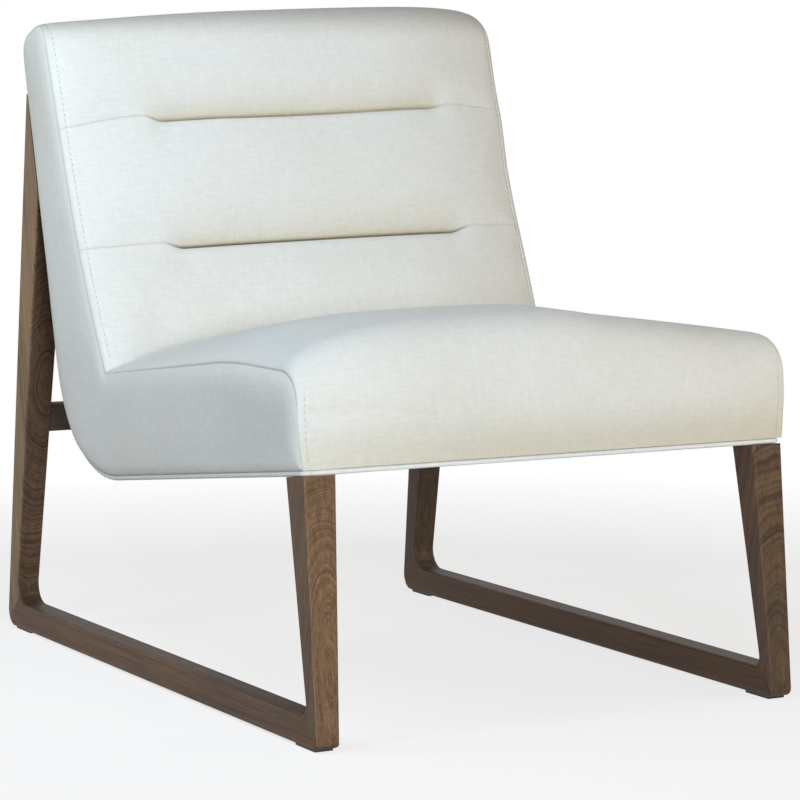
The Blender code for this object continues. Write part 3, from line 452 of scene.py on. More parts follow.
# Covers of seat and inside back

COVER_GRIP = 0.08
SEAM_GRIP_REACH = 0.007
NEAR_SEAM = (0.0, 0.0006, 0.0013, 0.0022, 0.0034, 0.0048, 0.0062, 0.0071, 0.0077, 0.0082, 0.0087,
             0.0093, 0.0102, 0.0118, 0.0140, 0.0170, 0.0205, 0.0250, 0.0300, 0.0355, 0.0415, 0.0480,
             0.0550)
HALF_COLUMNS = [*NEAR_SEAM, *np.linspace(0.0625, FRAME_HALF, 34)]

# Columns from one side seam to the other, as (side, distance in from its seam), close near the seams
COLUMNS = [(-1.0, distance) for distance in HALF_COLUMNS]
COLUMNS += [(1.0, distance) for distance in reversed(HALF_COLUMNS[:-1])]


def cover_rows(section, depth_at, hollow, seam_shade, pressure, excess):
    """Rows of points for a cover: each column follows its section; hollow closes the body inside."""
    nominal = FRAME_HALF + SEAM_BULGE
    rows = []
    uvs = []
    marks = []
    grips = []
    for side, distance in COLUMNS:
        inward = 1.0 - distance / nominal
        path = section(side * inward)
        lengths = arc_lengths(path)
        row = []
        row_uvs = []
        row_marks = []
        row_grips = []
        for index, point in enumerate(path):
            x = side * seam_half(point, side) * inward
            depth, seam, fold, grip = depth_at(point, x, distance)
            row.append(place(x, point - outward_at(path, index) * (depth + seam_dip(distance))))
            row_uvs.append((x, lengths[index]))
            row_marks.append((seam, fold))
            end = min(lengths[index], lengths[-1] - lengths[index])
            row_grips.append(max(COVER_GRIP, grip, bell(min(distance, end), SEAM_GRIP_REACH)))
        rows.append(row)
        uvs.append(row_uvs + [(side * (nominal - distance), 0.0)] * len(hollow))
        marks.append(row_marks + [(0.0, 0.0)] * len(hollow))
        grips.append(row_grips)
    rows = settle(rows, grips, pressure, excess)
    # Painted shade in a thin line along each side seam, as strong as seam_shade
    for row, row_marks, (side, distance) in zip(rows, marks, COLUMNS):
        edge_row = rows[0] if side < 0 else rows[-1]
        for index, (point, edge_point) in enumerate(zip(row, edge_row)):
            seam, fold = row_marks[index]
            seam_line_shade = seam_shade * bell((point - edge_point).length, SEAM_SHADE_WIDTH)
            row_marks[index] = (max(seam, seam_line_shade), fold)
    return [row + [place(row[0].x, point) for point in hollow] for row in rows], uvs, marks


def crease_corner(s, share):
    """Where seat and back meet at s, with the seat's crown by share."""
    back_front = BACK_FRONT.inset(-BACK_CROWN * fullness(s, *BACK_FORM))
    return meet(SEAT_TOP.inset(-SEAT_CROWN * share), back_front)


CREASE_TAIL = CREASE_POINT - (crease_corner(0.0, 1.0) - CREASE_POINT).normalized() * CREASE_TUCK
CREASE_SIDE = Vector((0.0004, 0.0))


# Seat

SEAT_MIDDLE_RUN = 0.300
FRONT_RUN = 0.2
STITCHED_FRONT = 0.388
STITCHED_FADE = 0.02
NOSE_GRIP = 0.6
NOSE_GRIP_COMES = (0.02, 0.07)
NOSE_GRIP_GOES = (0.20, 0.32)
FRONT_BELLY = 0.004
FRONT_BELLY_COMES = (0.300, 0.340)
FRONT_BELLY_GOES = (0.350, 0.410)
DRAPE_DEPTH = 0.0026
DRAPE_SIZE = 0.011
DRAPE_STRETCH = 0.16
DRAPE_SLANT = 0.22
# Painted warm shade in the drapes on the front
DRAPE_SHADE = 0.9
DRAPE_COMES = (0.02, 0.26)
DRAPE_GOES = (0.35, 0.40)
# Painted warm shade low on the front, less on the left, and painted shade over the seat, less near its
# left side
FRONT_LOW_SHADE = 0.85
FRONT_LOW_SHADE_LEFT = 0.8
FRONT_LOW_SHADE_GOES = (0.300, 0.368)
SEAT_LEAST_SHADE = 0.05
SEAT_SHADE = 0.13
SEAT_SHADE_COMES = (-0.30, -0.10)


def seat_section(s):
    """Outside of the seat cover: up the front, over the nose and seat, down into the crease."""
    nose_crown = -SEAT_CROWN * seat_share(s, *NOSE_FORM)
    front_share = fullness(s, *FRONT_FORM)
    nose = NOSE.inset(nose_crown)
    front = FRONT.inset(-SEAM_FORWARD - FRONT_CROWN * front_share)
    middle_crown = Vector((0.0, SEAT_CROWN * seat_share(s, *SEAT_FORM)))
    return dense_path([
        (meet(FRONT.inset(-SEAM_FORWARD / 2 - HEM_FORWARD * front_share), HEM), 0.0, 0),
        (meet(front, nose), mix(SEAM_NOSE_RADIUS, NOSE_RADIUS, fullness(s, 8.0, 1.0)), 16),
        (meet(nose, SEAT_TOP.inset(nose_crown)), SEAT_BLEND_RADIUS, 6),
        (meet(SEAT_TOP, upright(SEAT_MIDDLE_RUN)) + middle_crown, SEAT_BLEND_RADIUS, 6),
        (crease_corner(s, fullness(s, *CREASE_FORM)), CREASE_RADIUS, 8),
        (CREASE_TAIL - CREASE_SIDE, 0.0, 0),
    ], [18, 8, 14, 34, 6])


def seat_depth(point, x, distance):
    """The front face dips along its top-stitching, which ends under the nose."""
    run, height = point
    # Painted shade over the seat, less near its left side
    shade = SEAT_LEAST_SHADE + SEAT_SHADE * smoothstep(*SEAT_SHADE_COMES, x)
    calm = NOSE_GRIP * smoothstep(*NOSE_GRIP_COMES, run) * fades(*NOSE_GRIP_GOES, run)
    if run > FRONT_RUN:
        return 0.0, shade, 0.0, calm
    stitched = fades(STITCHED_FRONT - STITCHED_FADE, STITCHED_FRONT, height)
    # Painted warm shade towards the bottom of the front, less on the left
    warm = fades(*FRONT_LOW_SHADE_GOES, height) * mix(FRONT_LOW_SHADE_LEFT, 1.0, smoothstep(-0.28, 0.0, x))
    belly = FRONT_BELLY * fullness(x / FRAME_HALF, *FRONT_FORM)
    belly *= smoothstep(*FRONT_BELLY_COMES, height) * fades(*FRONT_BELLY_GOES, height)
    pulled = smoothstep(*DRAPE_COMES, -x) * smoothstep(0.0, 0.02, distance) * fades(*DRAPE_GOES, height)
    wave = soft_noise((x * DRAPE_STRETCH, 0.0, height + DRAPE_SLANT * x), DRAPE_SIZE, 6.3)
    # Painted warm shade in the drapes too
    warm = max(warm, DRAPE_SHADE * pulled * max(0.0, wave))
    crease = DRAPE_DEPTH * pulled * wave
    return stitched * stitch_dip(distance) + crease - belly, shade, FRONT_LOW_SHADE * warm, calm


seat_hollow = [
    CREASE_TAIL + Vector((-0.03, 0.0)),
    meet(UNDERSIDE.inset(0.066), FRONT.inset(0.02)),
]
seat_rows, uvs, marks = cover_rows(
    seat_section, seat_depth, seat_hollow, seam_shade=0.8, pressure=4.0, excess=0.0004)
seat = grid_mesh("seat_upholstery", seat_rows, uvs, closed=True, marks=marks)


# Inside back with its channels

CHANNEL_HALF = 0.222
CHANNEL_MIDDLE = 0.013
CHANNEL_FADE = 0.034
CHANNEL_EDGE = 0.03
CHANNEL_RISES = (0.163, 0.3295)
CHANNEL_SLOPES = (0.027, 0.031)
# Painted shade in the two channel lines, fainter at their ends, and painted warm shade above them
CHANNEL_SHADES = (1.0, 0.36)
LOWER_PINCH_DROP = 0.0060
UPPER_PINCH_DROP = 0.0042
UPPER_PINCH_TURN = 0.007
UPPER_SAG = 0.0020
UPPER_SAG_MIDDLE = 0.03
UPPER_SAG_HALF = 0.13
UPPER_END_DROP = 0.0075
CHANNEL_END_SHADE = 0.35
CHANNEL_REACH_ABOVE = 0.026
CHANNEL_REACH_BELOW = 0.013
CHANNEL_PINCH = 0.0150
CHANNEL_SINK = 0.004
CHANNEL_SINK_WIDTH = 0.034
CHANNEL_GROOVE = 0.0012
CHANNEL_GROOVE_WIDTH = 0.0016
CHANNEL_END_WIDTH = 0.0009
CHANNEL_GRIP_REACH = 0.009
CHANNEL_WARM_SHADE_REACH = 0.017
HALF_STEPS = (0.0006, 0.0013, 0.0023, 0.0036, 0.0052, 0.007, 0.009, 0.0115, 0.0145, 0.0175, 0.022,
              0.028, 0.036, 0.046)
CHANNEL_STEPS = [-step for step in reversed(HALF_STEPS)] + [0.0] + list(HALF_STEPS)
SEAM_BOW = 0.024
SEAM_BOW_RISE = 0.26
SEAM_BOW_WIDTH = 0.11
RIGHT_BOW_SHARE = 0.2
HEAD_FRONT_RADIUS = 0.034
HEAD_TILT = 0.012
HEAD_RISE = (BACK_SEAM_TOP - CREASE_POINT).length
HEAD_BEHIND = (0.012, 0.045)
# Painted shade over the front of the head, more on the left
HEAD_SHADE = 0.50
HEAD_SHADE_COMES = (HEAD_RISE - 0.036, HEAD_RISE + 0.006)
HEAD_LEFT_SHADE = 0.12
HEAD_LEFT_COMES = (0.1, -0.15)
HEAD_GRIP = 0.5
HEAD_GRIP_COMES = (HEAD_RISE - 0.09, HEAD_RISE - 0.03)
# Painted shade on the back's right side
RIGHT_BACK_SHADE = 0.10
RIGHT_BACK_COMES = (0.12, 0.26)


def channel_line(index, x):
    """Distance of a channel's stitching up the back from the crease, at x."""
    pinched = smoothstep(0.0, 0.030, CHANNEL_HALF - abs(x - CHANNEL_MIDDLE))
    rise = CHANNEL_RISES[index] + CHANNEL_SLOPES[index] * x
    if index == 0:
        return rise - LOWER_PINCH_DROP * pinched
    sag = UPPER_SAG * max(0.0, 1 - ((x - UPPER_SAG_MIDDLE) / UPPER_SAG_HALF) ** 2)
    rise -= UPPER_END_DROP * smoothstep(0.22, 0.32, abs(x))
    return rise - (UPPER_PINCH_DROP - UPPER_PINCH_TURN * x) * pinched - sag


def channel_depth(distance, x):
    """Depth of the cover under its plain crown, and its painted shade, painted warm shade and grip
    values there.
    """
    fade = smoothstep(0.0, CHANNEL_FADE, CHANNEL_HALF - abs(x - CHANNEL_MIDDLE))
    edge = smoothstep(0.0, CHANNEL_EDGE, FRAME_HALF - abs(x))
    depth = 0.0
    seam = 0.0
    fold = 0.0
    grip = 0.0
    for index, shade in enumerate(CHANNEL_SHADES):
        above = distance - channel_line(index, x)
        reach = CHANNEL_REACH_ABOVE if above > 0 else CHANNEL_REACH_BELOW
        depth += fade * CHANNEL_PINCH * rolled(abs(above), reach)
        depth += (0.35 + 0.65 * fade) * edge * CHANNEL_SINK * bell(above, CHANNEL_SINK_WIDTH)
        depth += (0.25 + 0.75 * edge) * CHANNEL_GROOVE * bell(above, CHANNEL_GROOVE_WIDTH)
        width = mix(CHANNEL_END_WIDTH, CHANNEL_GROOVE_WIDTH, fade)
        # Painted shade along each stitch line, and painted warm shade fading upwards from it
        seam = max(seam, mix(CHANNEL_END_SHADE, shade, fade) * bell(above, width))
        if -0.002 < above < 0.05:
            fold = max(fold, fade * math.exp(-max(above, 0.0) / CHANNEL_WARM_SHADE_REACH))
        grip = max(grip, mix(0.6, 1.0, fade) * bell(above, CHANNEL_GRIP_REACH))
    return depth, seam, fold, grip


def back_section(s):
    """Outside of the inside back: out of the crease, up the front, over the top, down to the welt."""
    front = BACK_FRONT.inset(-BACK_CROWN * fullness(s, *BACK_FORM))
    tilt = HEAD_TILT * s * fullness(s, 6.0, 1.0)
    top = TOP.inset(-TOP_CROWN * (fullness(s, 30.0, 2.0) if s > 0 else fullness(s, *FRONT_FORM)) - tilt)
    rear = REAR.inset(WELT_DIAMETER)
    corner = crease_corner(s, fullness(s, *CREASE_FORM))
    head = meet(front, top)
    shoulder = meet(top, rear)
    ending = meet(rear, COVER_HEM)
    over = arc(corner, head, shoulder, HEAD_FRONT_RADIUS, 14)
    roll = arc(head, shoulder, ending, BACK_TOP_REAR_RADIUS, 12)
    turn = arc(CREASE_TAIL, corner, head, CREASE_RADIUS, 6)
    along = (head - corner).normalized()
    shift = (corner - CREASE_POINT).dot(along)
    low = (turn[-1] - corner).dot(along) + shift
    high = (over[0] - corner).dot(along) + shift
    first, second = [channel_line(index, s * FRAME_HALF) for index in (0, 1)]
    stops = list(np.linspace(low, first + CHANNEL_STEPS[0], 9)[1:-1])
    for line, after in ((first, second + CHANNEL_STEPS[0]), (second, high)):
        stops += [line + step for step in CHANNEL_STEPS]
        stops += list(np.linspace(line + CHANNEL_STEPS[-1], after, 8)[1:-1])
    face = [corner + along * (stop - shift) for stop in stops]
    start = divided(CREASE_TAIL + CREASE_SIDE, turn[0], 6)[:-1]
    down = divided(over[-1], roll[0], 3)[1:-1] + roll + divided(roll[-1], ending, 3)[1:]
    return start + turn + face + over + down


def seam_bow(distance, side):
    """How far the back's side seams bow forward above the crease, most on the left."""
    share = 1.0 if side < 0 else RIGHT_BOW_SHARE
    return share * SEAM_BOW * max(0.0, 1.0 - max(0.0, distance) / SEAM_BOW_RISE) ** 2


def back_depth(point, x, distance):
    """The channels and the bowed side seams on the back's front, and the painted shade over its head
    and on its right side.
    """
    rise = (point - CREASE_POINT).dot(BACK_ALONG)
    behind = BACK_FRONT.depth_of(point)
    over = smoothstep(*HEAD_SHADE_COMES, rise) * fades(*HEAD_BEHIND, behind)
    if behind > HEAD_BEHIND[0]:
        # Painted shade over the head, more on the left
        shade = HEAD_SHADE + HEAD_LEFT_SHADE * smoothstep(*HEAD_LEFT_COMES, x)
        return 0.0, shade * over, 0.0, HEAD_GRIP
    bow = seam_bow(rise, x) * fades(0.0, SEAM_BOW_WIDTH, distance) * smoothstep(-0.05, 0.0, rise)
    if rise < 0.02:
        return stitch_dip(distance) - bow, 0.0, 0.0, 0.0
    depth, seam, fold, grip = channel_depth(rise, x)
    # Painted shade on the right side and over the head
    seam = max(seam, RIGHT_BACK_SHADE * smoothstep(*RIGHT_BACK_COMES, x), HEAD_SHADE * over)
    grip = max(grip, HEAD_GRIP * smoothstep(*HEAD_GRIP_COMES, rise))
    return depth + stitch_dip(distance) - bow, seam, fold, grip


back_hollow = [
    meet(REAR.inset(0.05), TOP.inset(0.06)),
    CREASE_POINT + Vector((0.055, 0.0)),
]
back_rows, uvs, marks = cover_rows(
    back_section, back_depth, back_hollow, seam_shade=0.4, pressure=4.0, excess=0.002)
back = grid_mesh("back_upholstery", back_rows, uvs, closed=True, marks=marks)


# Side panels

PANEL_BULGE = 0.0085
PANEL_LEAST_SWELL = 0.003
PANEL_ROLL = 0.026
PANEL_WAVE = 0.0016
PANEL_WAVE_SIZE = 0.11
PANEL_DRAPE = 0.0008
PANEL_DRAPE_SIZE = 0.009
PANEL_DRAPE_GOES = (0.08, 0.30)
PANEL_HEAD_RADIUS = 0.022
# Painted shade on the side panels: most towards the front of the seat's part, some beside the head
PANEL_LEAST_SHADE = 0.09
PANEL_SHADE = 0.20
PANEL_SHADE_GOES = (0.05, 0.45)
PANEL_SHADE_TOP = (0.36, 0.42)
PANEL_HEAD_SHADE = 0.17
PANEL_HEAD_COMES = (0.58, 0.72)
PANEL_RIM = (0.002, 0.03)


def panel_curves(side):
    """The panel's four sides: outer (underside, heel, rear), inner (seat, back), front end, top end."""
    inset = WELT_DIAMETER - SEAM_LAP
    underside = UNDERSIDE.inset(inset)
    rear = REAR.inset(inset)
    front = FRONT.inset(-SEAM_FORWARD)
    bottom = meet(FRONT.inset(-SEAM_FORWARD / 2), underside)
    ending = meet(rear, COVER_HEM)
    outer = dense_path([
        (bottom, 0.0, 0),
        (meet(underside, rear), HEEL_RADIUS - inset, 60),
        (ending, 0.0, 0),
    ], [60, 60])
    nose_point = meet(SEAT_TOP, NOSE)
    corner = meet(BACK_FRONT.inset(-seam_bow(0.0, side)), SEAT_TOP)
    blend = arc(meet(NOSE, front), nose_point, corner, SEAT_BLEND_RADIUS, 20)
    front_arc = arc(bottom, meet(NOSE, front), nose_point, SEAM_NOSE_RADIUS, 24)
    front_end = divided(bottom, front_arc[0], 24) + front_arc[1:]
    front_end += divided(front_arc[-1], blend[0], 6)[1:]
    crease = meet(BACK_FRONT, SEAT_TOP)
    head = meet(TOP, BACK_FRONT)
    head_arc = arc(crease, head, meet(TOP, rear), PANEL_HEAD_RADIUS, 12)
    rear_arc = arc(head, meet(TOP, rear), ending, BACK_TOP_REAR_RADIUS, 14)
    inner = blend + divided(blend[-1], corner, 50)[1:]
    for point in divided(crease, head_arc[0], 60)[1:]:
        inner.append(point - BACK_FRONT.normal * seam_bow((point - crease).length, side))
    return outer, inner, front_end, [outer[-1]] + rear_arc[::-1] + head_arc[::-1]


def resample(path, shares):
    """Points at the given shares of a path's length."""
    lengths = arc_lengths(path)
    targets = [share * lengths[-1] for share in shares]
    runs, heights = zip(*path)
    return np.stack([np.interp(targets, lengths, runs), np.interp(targets, lengths, heights)], axis=1)


def clustered(count, edge):
    """Shares from 0 to 1, closer together near both ends."""
    t = np.linspace(0.0, 1.0, count)
    return (1 - edge) * t + edge * (1 - np.cos(math.pi * t)) / 2


def distance_to_loop(points, loop):
    """Shortest distance of each point to a closed polyline."""
    best = np.full(len(points), 1e9)
    for first, second in zip(loop, np.roll(loop, -1, axis=0)):
        side = second - first
        length = max(side @ side, 1e-12)
        share = np.clip(((points - first) @ side) / length, 0.0, 1.0)
        gap = points - (first + share[:, None] * side)
        best = np.minimum(best, np.sqrt((gap ** 2).sum(axis=1)))
    return best


def panel_grid(side):
    """A grid over the L-shaped panel, blended from its four sides, and its distances from its seam."""
    outer, inner, front_end, top_end = panel_curves(side)
    a = clustered(180, 0.93)
    b = clustered(46, 0.95)
    low = resample(outer, a)
    high = resample(inner, a)
    start = resample(front_end, b)
    end = resample(top_end, b)
    u = a[:, None, None]
    v = b[None, :, None]
    across = (1 - v) * low[:, None] + v * high[:, None]
    along = (1 - u) * start + u * end
    corner = ((1 - u) * (1 - v) * low[0] + u * (1 - v) * low[-1]
              + (1 - u) * v * high[0] + u * v * high[-1])
    grid = across + along - corner
    loop = np.concatenate([low, end[1:], high[::-1][1:], start[::-1][1:-1]])
    return grid, distance_to_loop(grid.reshape(-1, 2), loop).reshape(len(a), len(b))


def panel_shade(point, gap):
    """The painted shade at a panel's point, set by place, and a painted dark line along its seam."""
    shade = PANEL_LEAST_SHADE + PANEL_SHADE * fades(*PANEL_SHADE_GOES, point[0])
    shade *= fades(*PANEL_SHADE_TOP, point[1])
    shade = max(shade, PANEL_HEAD_SHADE * smoothstep(*PANEL_HEAD_COMES, point[1]))
    return max(shade * smoothstep(*PANEL_RIM, gap), 0.5 * bell(gap, SEAM_SHADE_WIDTH))


def panel_place(point, gap, swell, side):
    """A panel's point stood out from its seam by its swell, with a few faint drapes near the front."""
    half = seam_half(point, side)
    x = half + max(FRAME_HALF + PANEL_BULGE - half, PANEL_LEAST_SWELL) * swell
    x += PANEL_WAVE * soft_noise((point[0], point[1], side), PANEL_WAVE_SIZE, 3.1) * swell
    pulled = smoothstep(0.004, 0.03, gap) * fades(*PANEL_DRAPE_GOES, point[0])
    x += PANEL_DRAPE * pulled * soft_noise((point[0] * 0.2, 0.0, point[1]), PANEL_DRAPE_SIZE, 9.4)
    return place(side * (x - seam_dip(gap)), point)


def build_panel(label, side):
    """A side cover with a flat back of its own against the shell's rails."""
    grid, gaps = panel_grid(side)
    swells = np.sin(math.pi / 2 * np.minimum(1.0, gaps / PANEL_ROLL))
    soft = blurred(swells[..., None], 5)[..., 0]
    swells += (soft - swells) * np.clip((gaps - 0.002) / 0.010, 0.0, 1.0)
    rows = []
    marks = []
    uvs = []
    for line in zip(grid.tolist(), gaps.tolist(), swells.tolist()):
        spots = [(Vector(point), gap, swell) for point, gap, swell in zip(*line)]
        rows.append([panel_place(point, gap, swell, side) for point, gap, swell in spots])
        marks.append([(panel_shade(point, gap), 0.0) for point, gap, swell in spots])
        uvs.append([tuple(point) for point, gap, swell in spots])
    obj = grid_mesh(label + "_side_panel", rows, uvs, marks=marks)
    backing = bmesh.new()
    backing.from_mesh(obj.data)
    rim = [edge for edge in backing.edges if edge.is_boundary]
    made = bmesh.ops.extrude_edge_only(backing, edges=rim)
    for item in made["geom"]:
        if isinstance(item, bmesh.types.BMVert):
            item.co.x = side * (PANEL_INNER + 0.0002)
    ends = [edge for edge in backing.edges if edge.is_boundary]
    bmesh.ops.contextual_create(backing, geom=ends)
    bmesh.ops.recalc_face_normals(backing, faces=backing.faces)
    crease_sharply(backing)
    backing.to_mesh(obj.data)
    backing.free()
    return obj


panels = [build_panel(label, side) for label, side in SIDES]


# Outside back and dust cloth

HEEL_HEM = (HEEL_POINT - UNDERSIDE_START).length - HEEL_RADIUS - CROSS_RAIL_THICKNESS
OUTER_SKIN = 0.0022
OUTSIDE_HALF = PANEL_INNER - 0.0004
DUST_SKIN = OUTER_SKIN + 0.001
DUST_LAP = 0.002
DUST_HALF = PANEL_INNER - 0.0006
OUTSIDE_CROWN = 0.0016
OUTSIDE_WAVE = 0.0005
DUST_WAVE = 0.0012
DUST_SAG = 0.0018


def sheet_mesh(name, path, half, swell, columns=60):
    """A stretched cloth over a path: it swells between its fixed edges."""
    lengths = arc_lengths(path)
    rows = []
    uvs = []
    for column in range(columns + 1):
        s = -1 + 2 * column / columns
        row = []
        for index, point in enumerate(path):
            depth = swell(s, lengths[index] / lengths[-1], point)
            row.append(place(s * half, point + outward_at(path, index) * depth))
        rows.append(row)
        uvs.append([(s * half, length) for length in lengths])
    return grid_mesh(name, rows, uvs)


def hem_edge(along):
    return Edge(UNDERSIDE_START + SEAT_ALONG * along, SEAT_ALONG)


def build_outside_path():
    """Down the rear, round the heel on the welts' own curve, to the hem under the seat."""
    rear = REAR.inset(OUTER_SKIN)
    under = UNDERSIDE.inset(OUTER_SKIN)
    top = meet(rear, WELT_LINE.inset(WELT_RADIUS))
    bend = arc(top, meet(rear, under), meet(FRONT, under), HEEL_RADIUS - OUTER_SKIN, 40)
    hem = meet(under, hem_edge(HEEL_HEM))
    return divided(top, bend[0], 40)[:-1] + bend + divided(bend[-1], hem, 8)[1:]


def free_share(s, share, side, end):
    """0 at a sheet's held edges and 1 further in than side and end."""
    ends = smoothstep(0.0, end, share) * smoothstep(0.0, end, 1 - share)
    return smoothstep(0.0, side, 1 - abs(s)) * ends


def outside_swell(s, share, point):
    edge = free_share(s, share, 0.08, 0.05)
    crown = OUTSIDE_CROWN * edge * (1 - s * s)
    return -crown - OUTSIDE_WAVE * edge * soft_noise((s * 0.3, point[0], point[1]), 0.07, 5.0)


def dust_swell(s, share, point):
    wave = 1 + soft_noise((s * 0.3, point[0], point[1]), 0.05, 8.0)
    return (DUST_WAVE * wave - DUST_SAG) * free_share(s, share, 0.25, 0.15)


outside_path = build_outside_path()
outside_back = sheet_mesh("outside_back_panel", outside_path, OUTSIDE_HALF, outside_swell)
dust_line = UNDERSIDE.inset(DUST_SKIN)
dust_front = meet(dust_line, hem_edge(WELT_DIAMETER))
dust_path = divided(dust_front, meet(dust_line, hem_edge(HEEL_HEM + DUST_LAP)), 60)
dust = sheet_mesh("dust_cloth", dust_path, DUST_HALF, dust_swell)


# Welts

WELT_TURN = 0.0042
WELT_JOINT = 0.16
CORD_SIDES = 12


def tube_mesh(name, points, radius_at=lambda along: WELT_RADIUS):
    """A round cord along points, with UVs in metres."""
    lengths = arc_lengths(points)
    angles = [2 * math.pi * side / CORD_SIDES for side in range(CORD_SIDES)]
    normal = tangent_at(points, 0).orthogonal().normalized()
    rows = []
    uvs = []
    for index, point in enumerate(points):
        tangent = tangent_at(points, index)
        normal = (normal - tangent * normal.dot(tangent)).normalized()
        binormal = tangent.cross(normal)
        size = radius_at(lengths[index])
        spokes = [normal * math.cos(angle) + binormal * math.sin(angle) for angle in angles]
        rows.append([point + spoke * size for spoke in spokes])
        uvs.append([(angle * WELT_RADIUS, lengths[index]) for angle in angles])
    return grid_mesh(name, rows, uvs, closed=True)


def densify(points, step):
    """The same route with points no further apart than step."""
    made = [points[0]]
    for first, second in zip(points, points[1:]):
        made += divided(first, second, max(1, math.ceil((second - first).length / step)))[1:]
    return made


def front_welt_radius(along):
    """The front welt is fuller where its ends are joined, at the left corner."""
    return WELT_RADIUS * (1 + WELT_JOINT * fades(0.015, 0.055, along) * smoothstep(0.0, 0.006, along))


def build_welts():
    """Left and right from the front corner up to the top, then front and top across."""
    low = UNDERSIDE.inset(WELT_RADIUS)
    rear = REAR.inset(WELT_RADIUS)
    start = meet(FRONT.inset(WELT_RADIUS), low)
    along = dense_path([
        (start + SEAT_ALONG * WELT_TURN, 0.0, 0),
        (meet(low, rear), HEEL_RADIUS - WELT_RADIUS, 48),
        (meet(rear, WELT_LINE), 0.0, 0),
    ], [40, 40])
    made = []
    for label, side in SIDES:
        corner = [place(side * (WELT_HALF - 2 * WELT_TURN), start)]
        for step in range(9):
            angle = math.pi / 2 * step / 8
            x = WELT_HALF - WELT_TURN * (1 - math.sin(angle))
            corner.append(place(side * x, start + SEAT_ALONG * WELT_TURN * (1 - math.cos(angle))))
        points = densify(corner, 0.002) + [place(side * WELT_HALF, point) for point in along[1:]]
        made.append(tube_mesh(label + "_welt_cord", points))
    reach = WELT_HALF - 2 * WELT_TURN - GAP
    front_points = densify([place(-reach, start), place(reach, start)], 0.008)
    made.append(tube_mesh("front_welt_cord", front_points, front_welt_radius))
    top_points = densify([place(-OUTSIDE_HALF, along[-1]), place(OUTSIDE_HALF, along[-1])], 0.008)
    made.append(tube_mesh("top_welt_cord", top_points))
    return made


welts = build_welts()


# Top-stitching

STITCH_PITCH = 0.0072
STITCH_SIZE = (0.0018, 0.0006, 0.0005)
STITCH_SUNK = 0.00008


def along_line(line, lengths, distance):
    """Point, outward normal and tangent of a line at a distance along it."""
    index = 0
    while lengths[index + 1] < distance:
        index += 1
    share = (distance - lengths[index]) / max(lengths[index + 1] - lengths[index], 1e-9)
    first, first_out = line[index]
    second, second_out = line[index + 1]
    tangent = (second - first).normalized()
    outward = first_out.lerp(second_out, share)
    outward = (outward - tangent * outward.dot(tangent)).normalized()
    return first.lerp(second, share), outward, tangent


def stitch_mesh(name, lines):
    """Short threads sunk in a row along each line of (point, outward) pairs."""
    bm = bmesh.new()
    uv_layer = bm.loops.layers.uv.new("UVMap")
    for line in lines:
        lengths = arc_lengths([point for point, outward in line])
        for index in range(1, int(lengths[-1] / STITCH_PITCH)):
            middle, outward, tangent = along_line(line, lengths, index * STITCH_PITCH)
            across = tangent.cross(outward).normalized()
            turn = Matrix((tangent, across, outward)).transposed().to_4x4()
            lift = Matrix.Translation(middle - outward * STITCH_SUNK)
            sphere = bmesh.ops.create_uvsphere(bm, u_segments=6, v_segments=5, radius=1.0)
            size = Matrix.Diagonal((*STITCH_SIZE, 1.0))
            bmesh.ops.transform(bm, matrix=lift @ turn @ size, verts=sphere["verts"])
    for face in bm.faces:
        face.smooth = True
        for loop in face.loops:
            loop[uv_layer].uv = (loop.vert.co.x, loop.vert.co.z)
    return finish_mesh(name, bm)


def stitch_line(rows, column, first, last):
    """A column of a cover's rows with its normals, turned away from the chair's middle."""
    row = rows[column]
    line = []
    for index in range(first, last):
        down = row[index + 1] - row[index - 1]
        across = rows[column + 1][index] - rows[column - 1][index]
        line.append((row[index], across.cross(down).normalized()))
    point, outward = line[len(line) // 2]
    centre = place(0.0, CREASE_POINT + Vector((0.05, -0.02)))
    if outward.dot(point - centre) < 0:
        return [(point, -normal) for point, normal in line]
    return line


stitch_lines = []
for column, (side, distance) in enumerate(COLUMNS):
    if distance == STITCH_OFFSET:
        seat_end = [point.z > STITCHED_FRONT for point in seat_rows[column]].index(True)
        back_end = len(back_rows[0]) - len(back_hollow) - 3
        stitch_lines.append(stitch_line(seat_rows, column, 1, seat_end))
        stitch_lines.append(stitch_line(back_rows, column, 12, back_end))
stitching = stitch_mesh("top_stitching", stitch_lines)


# Materials

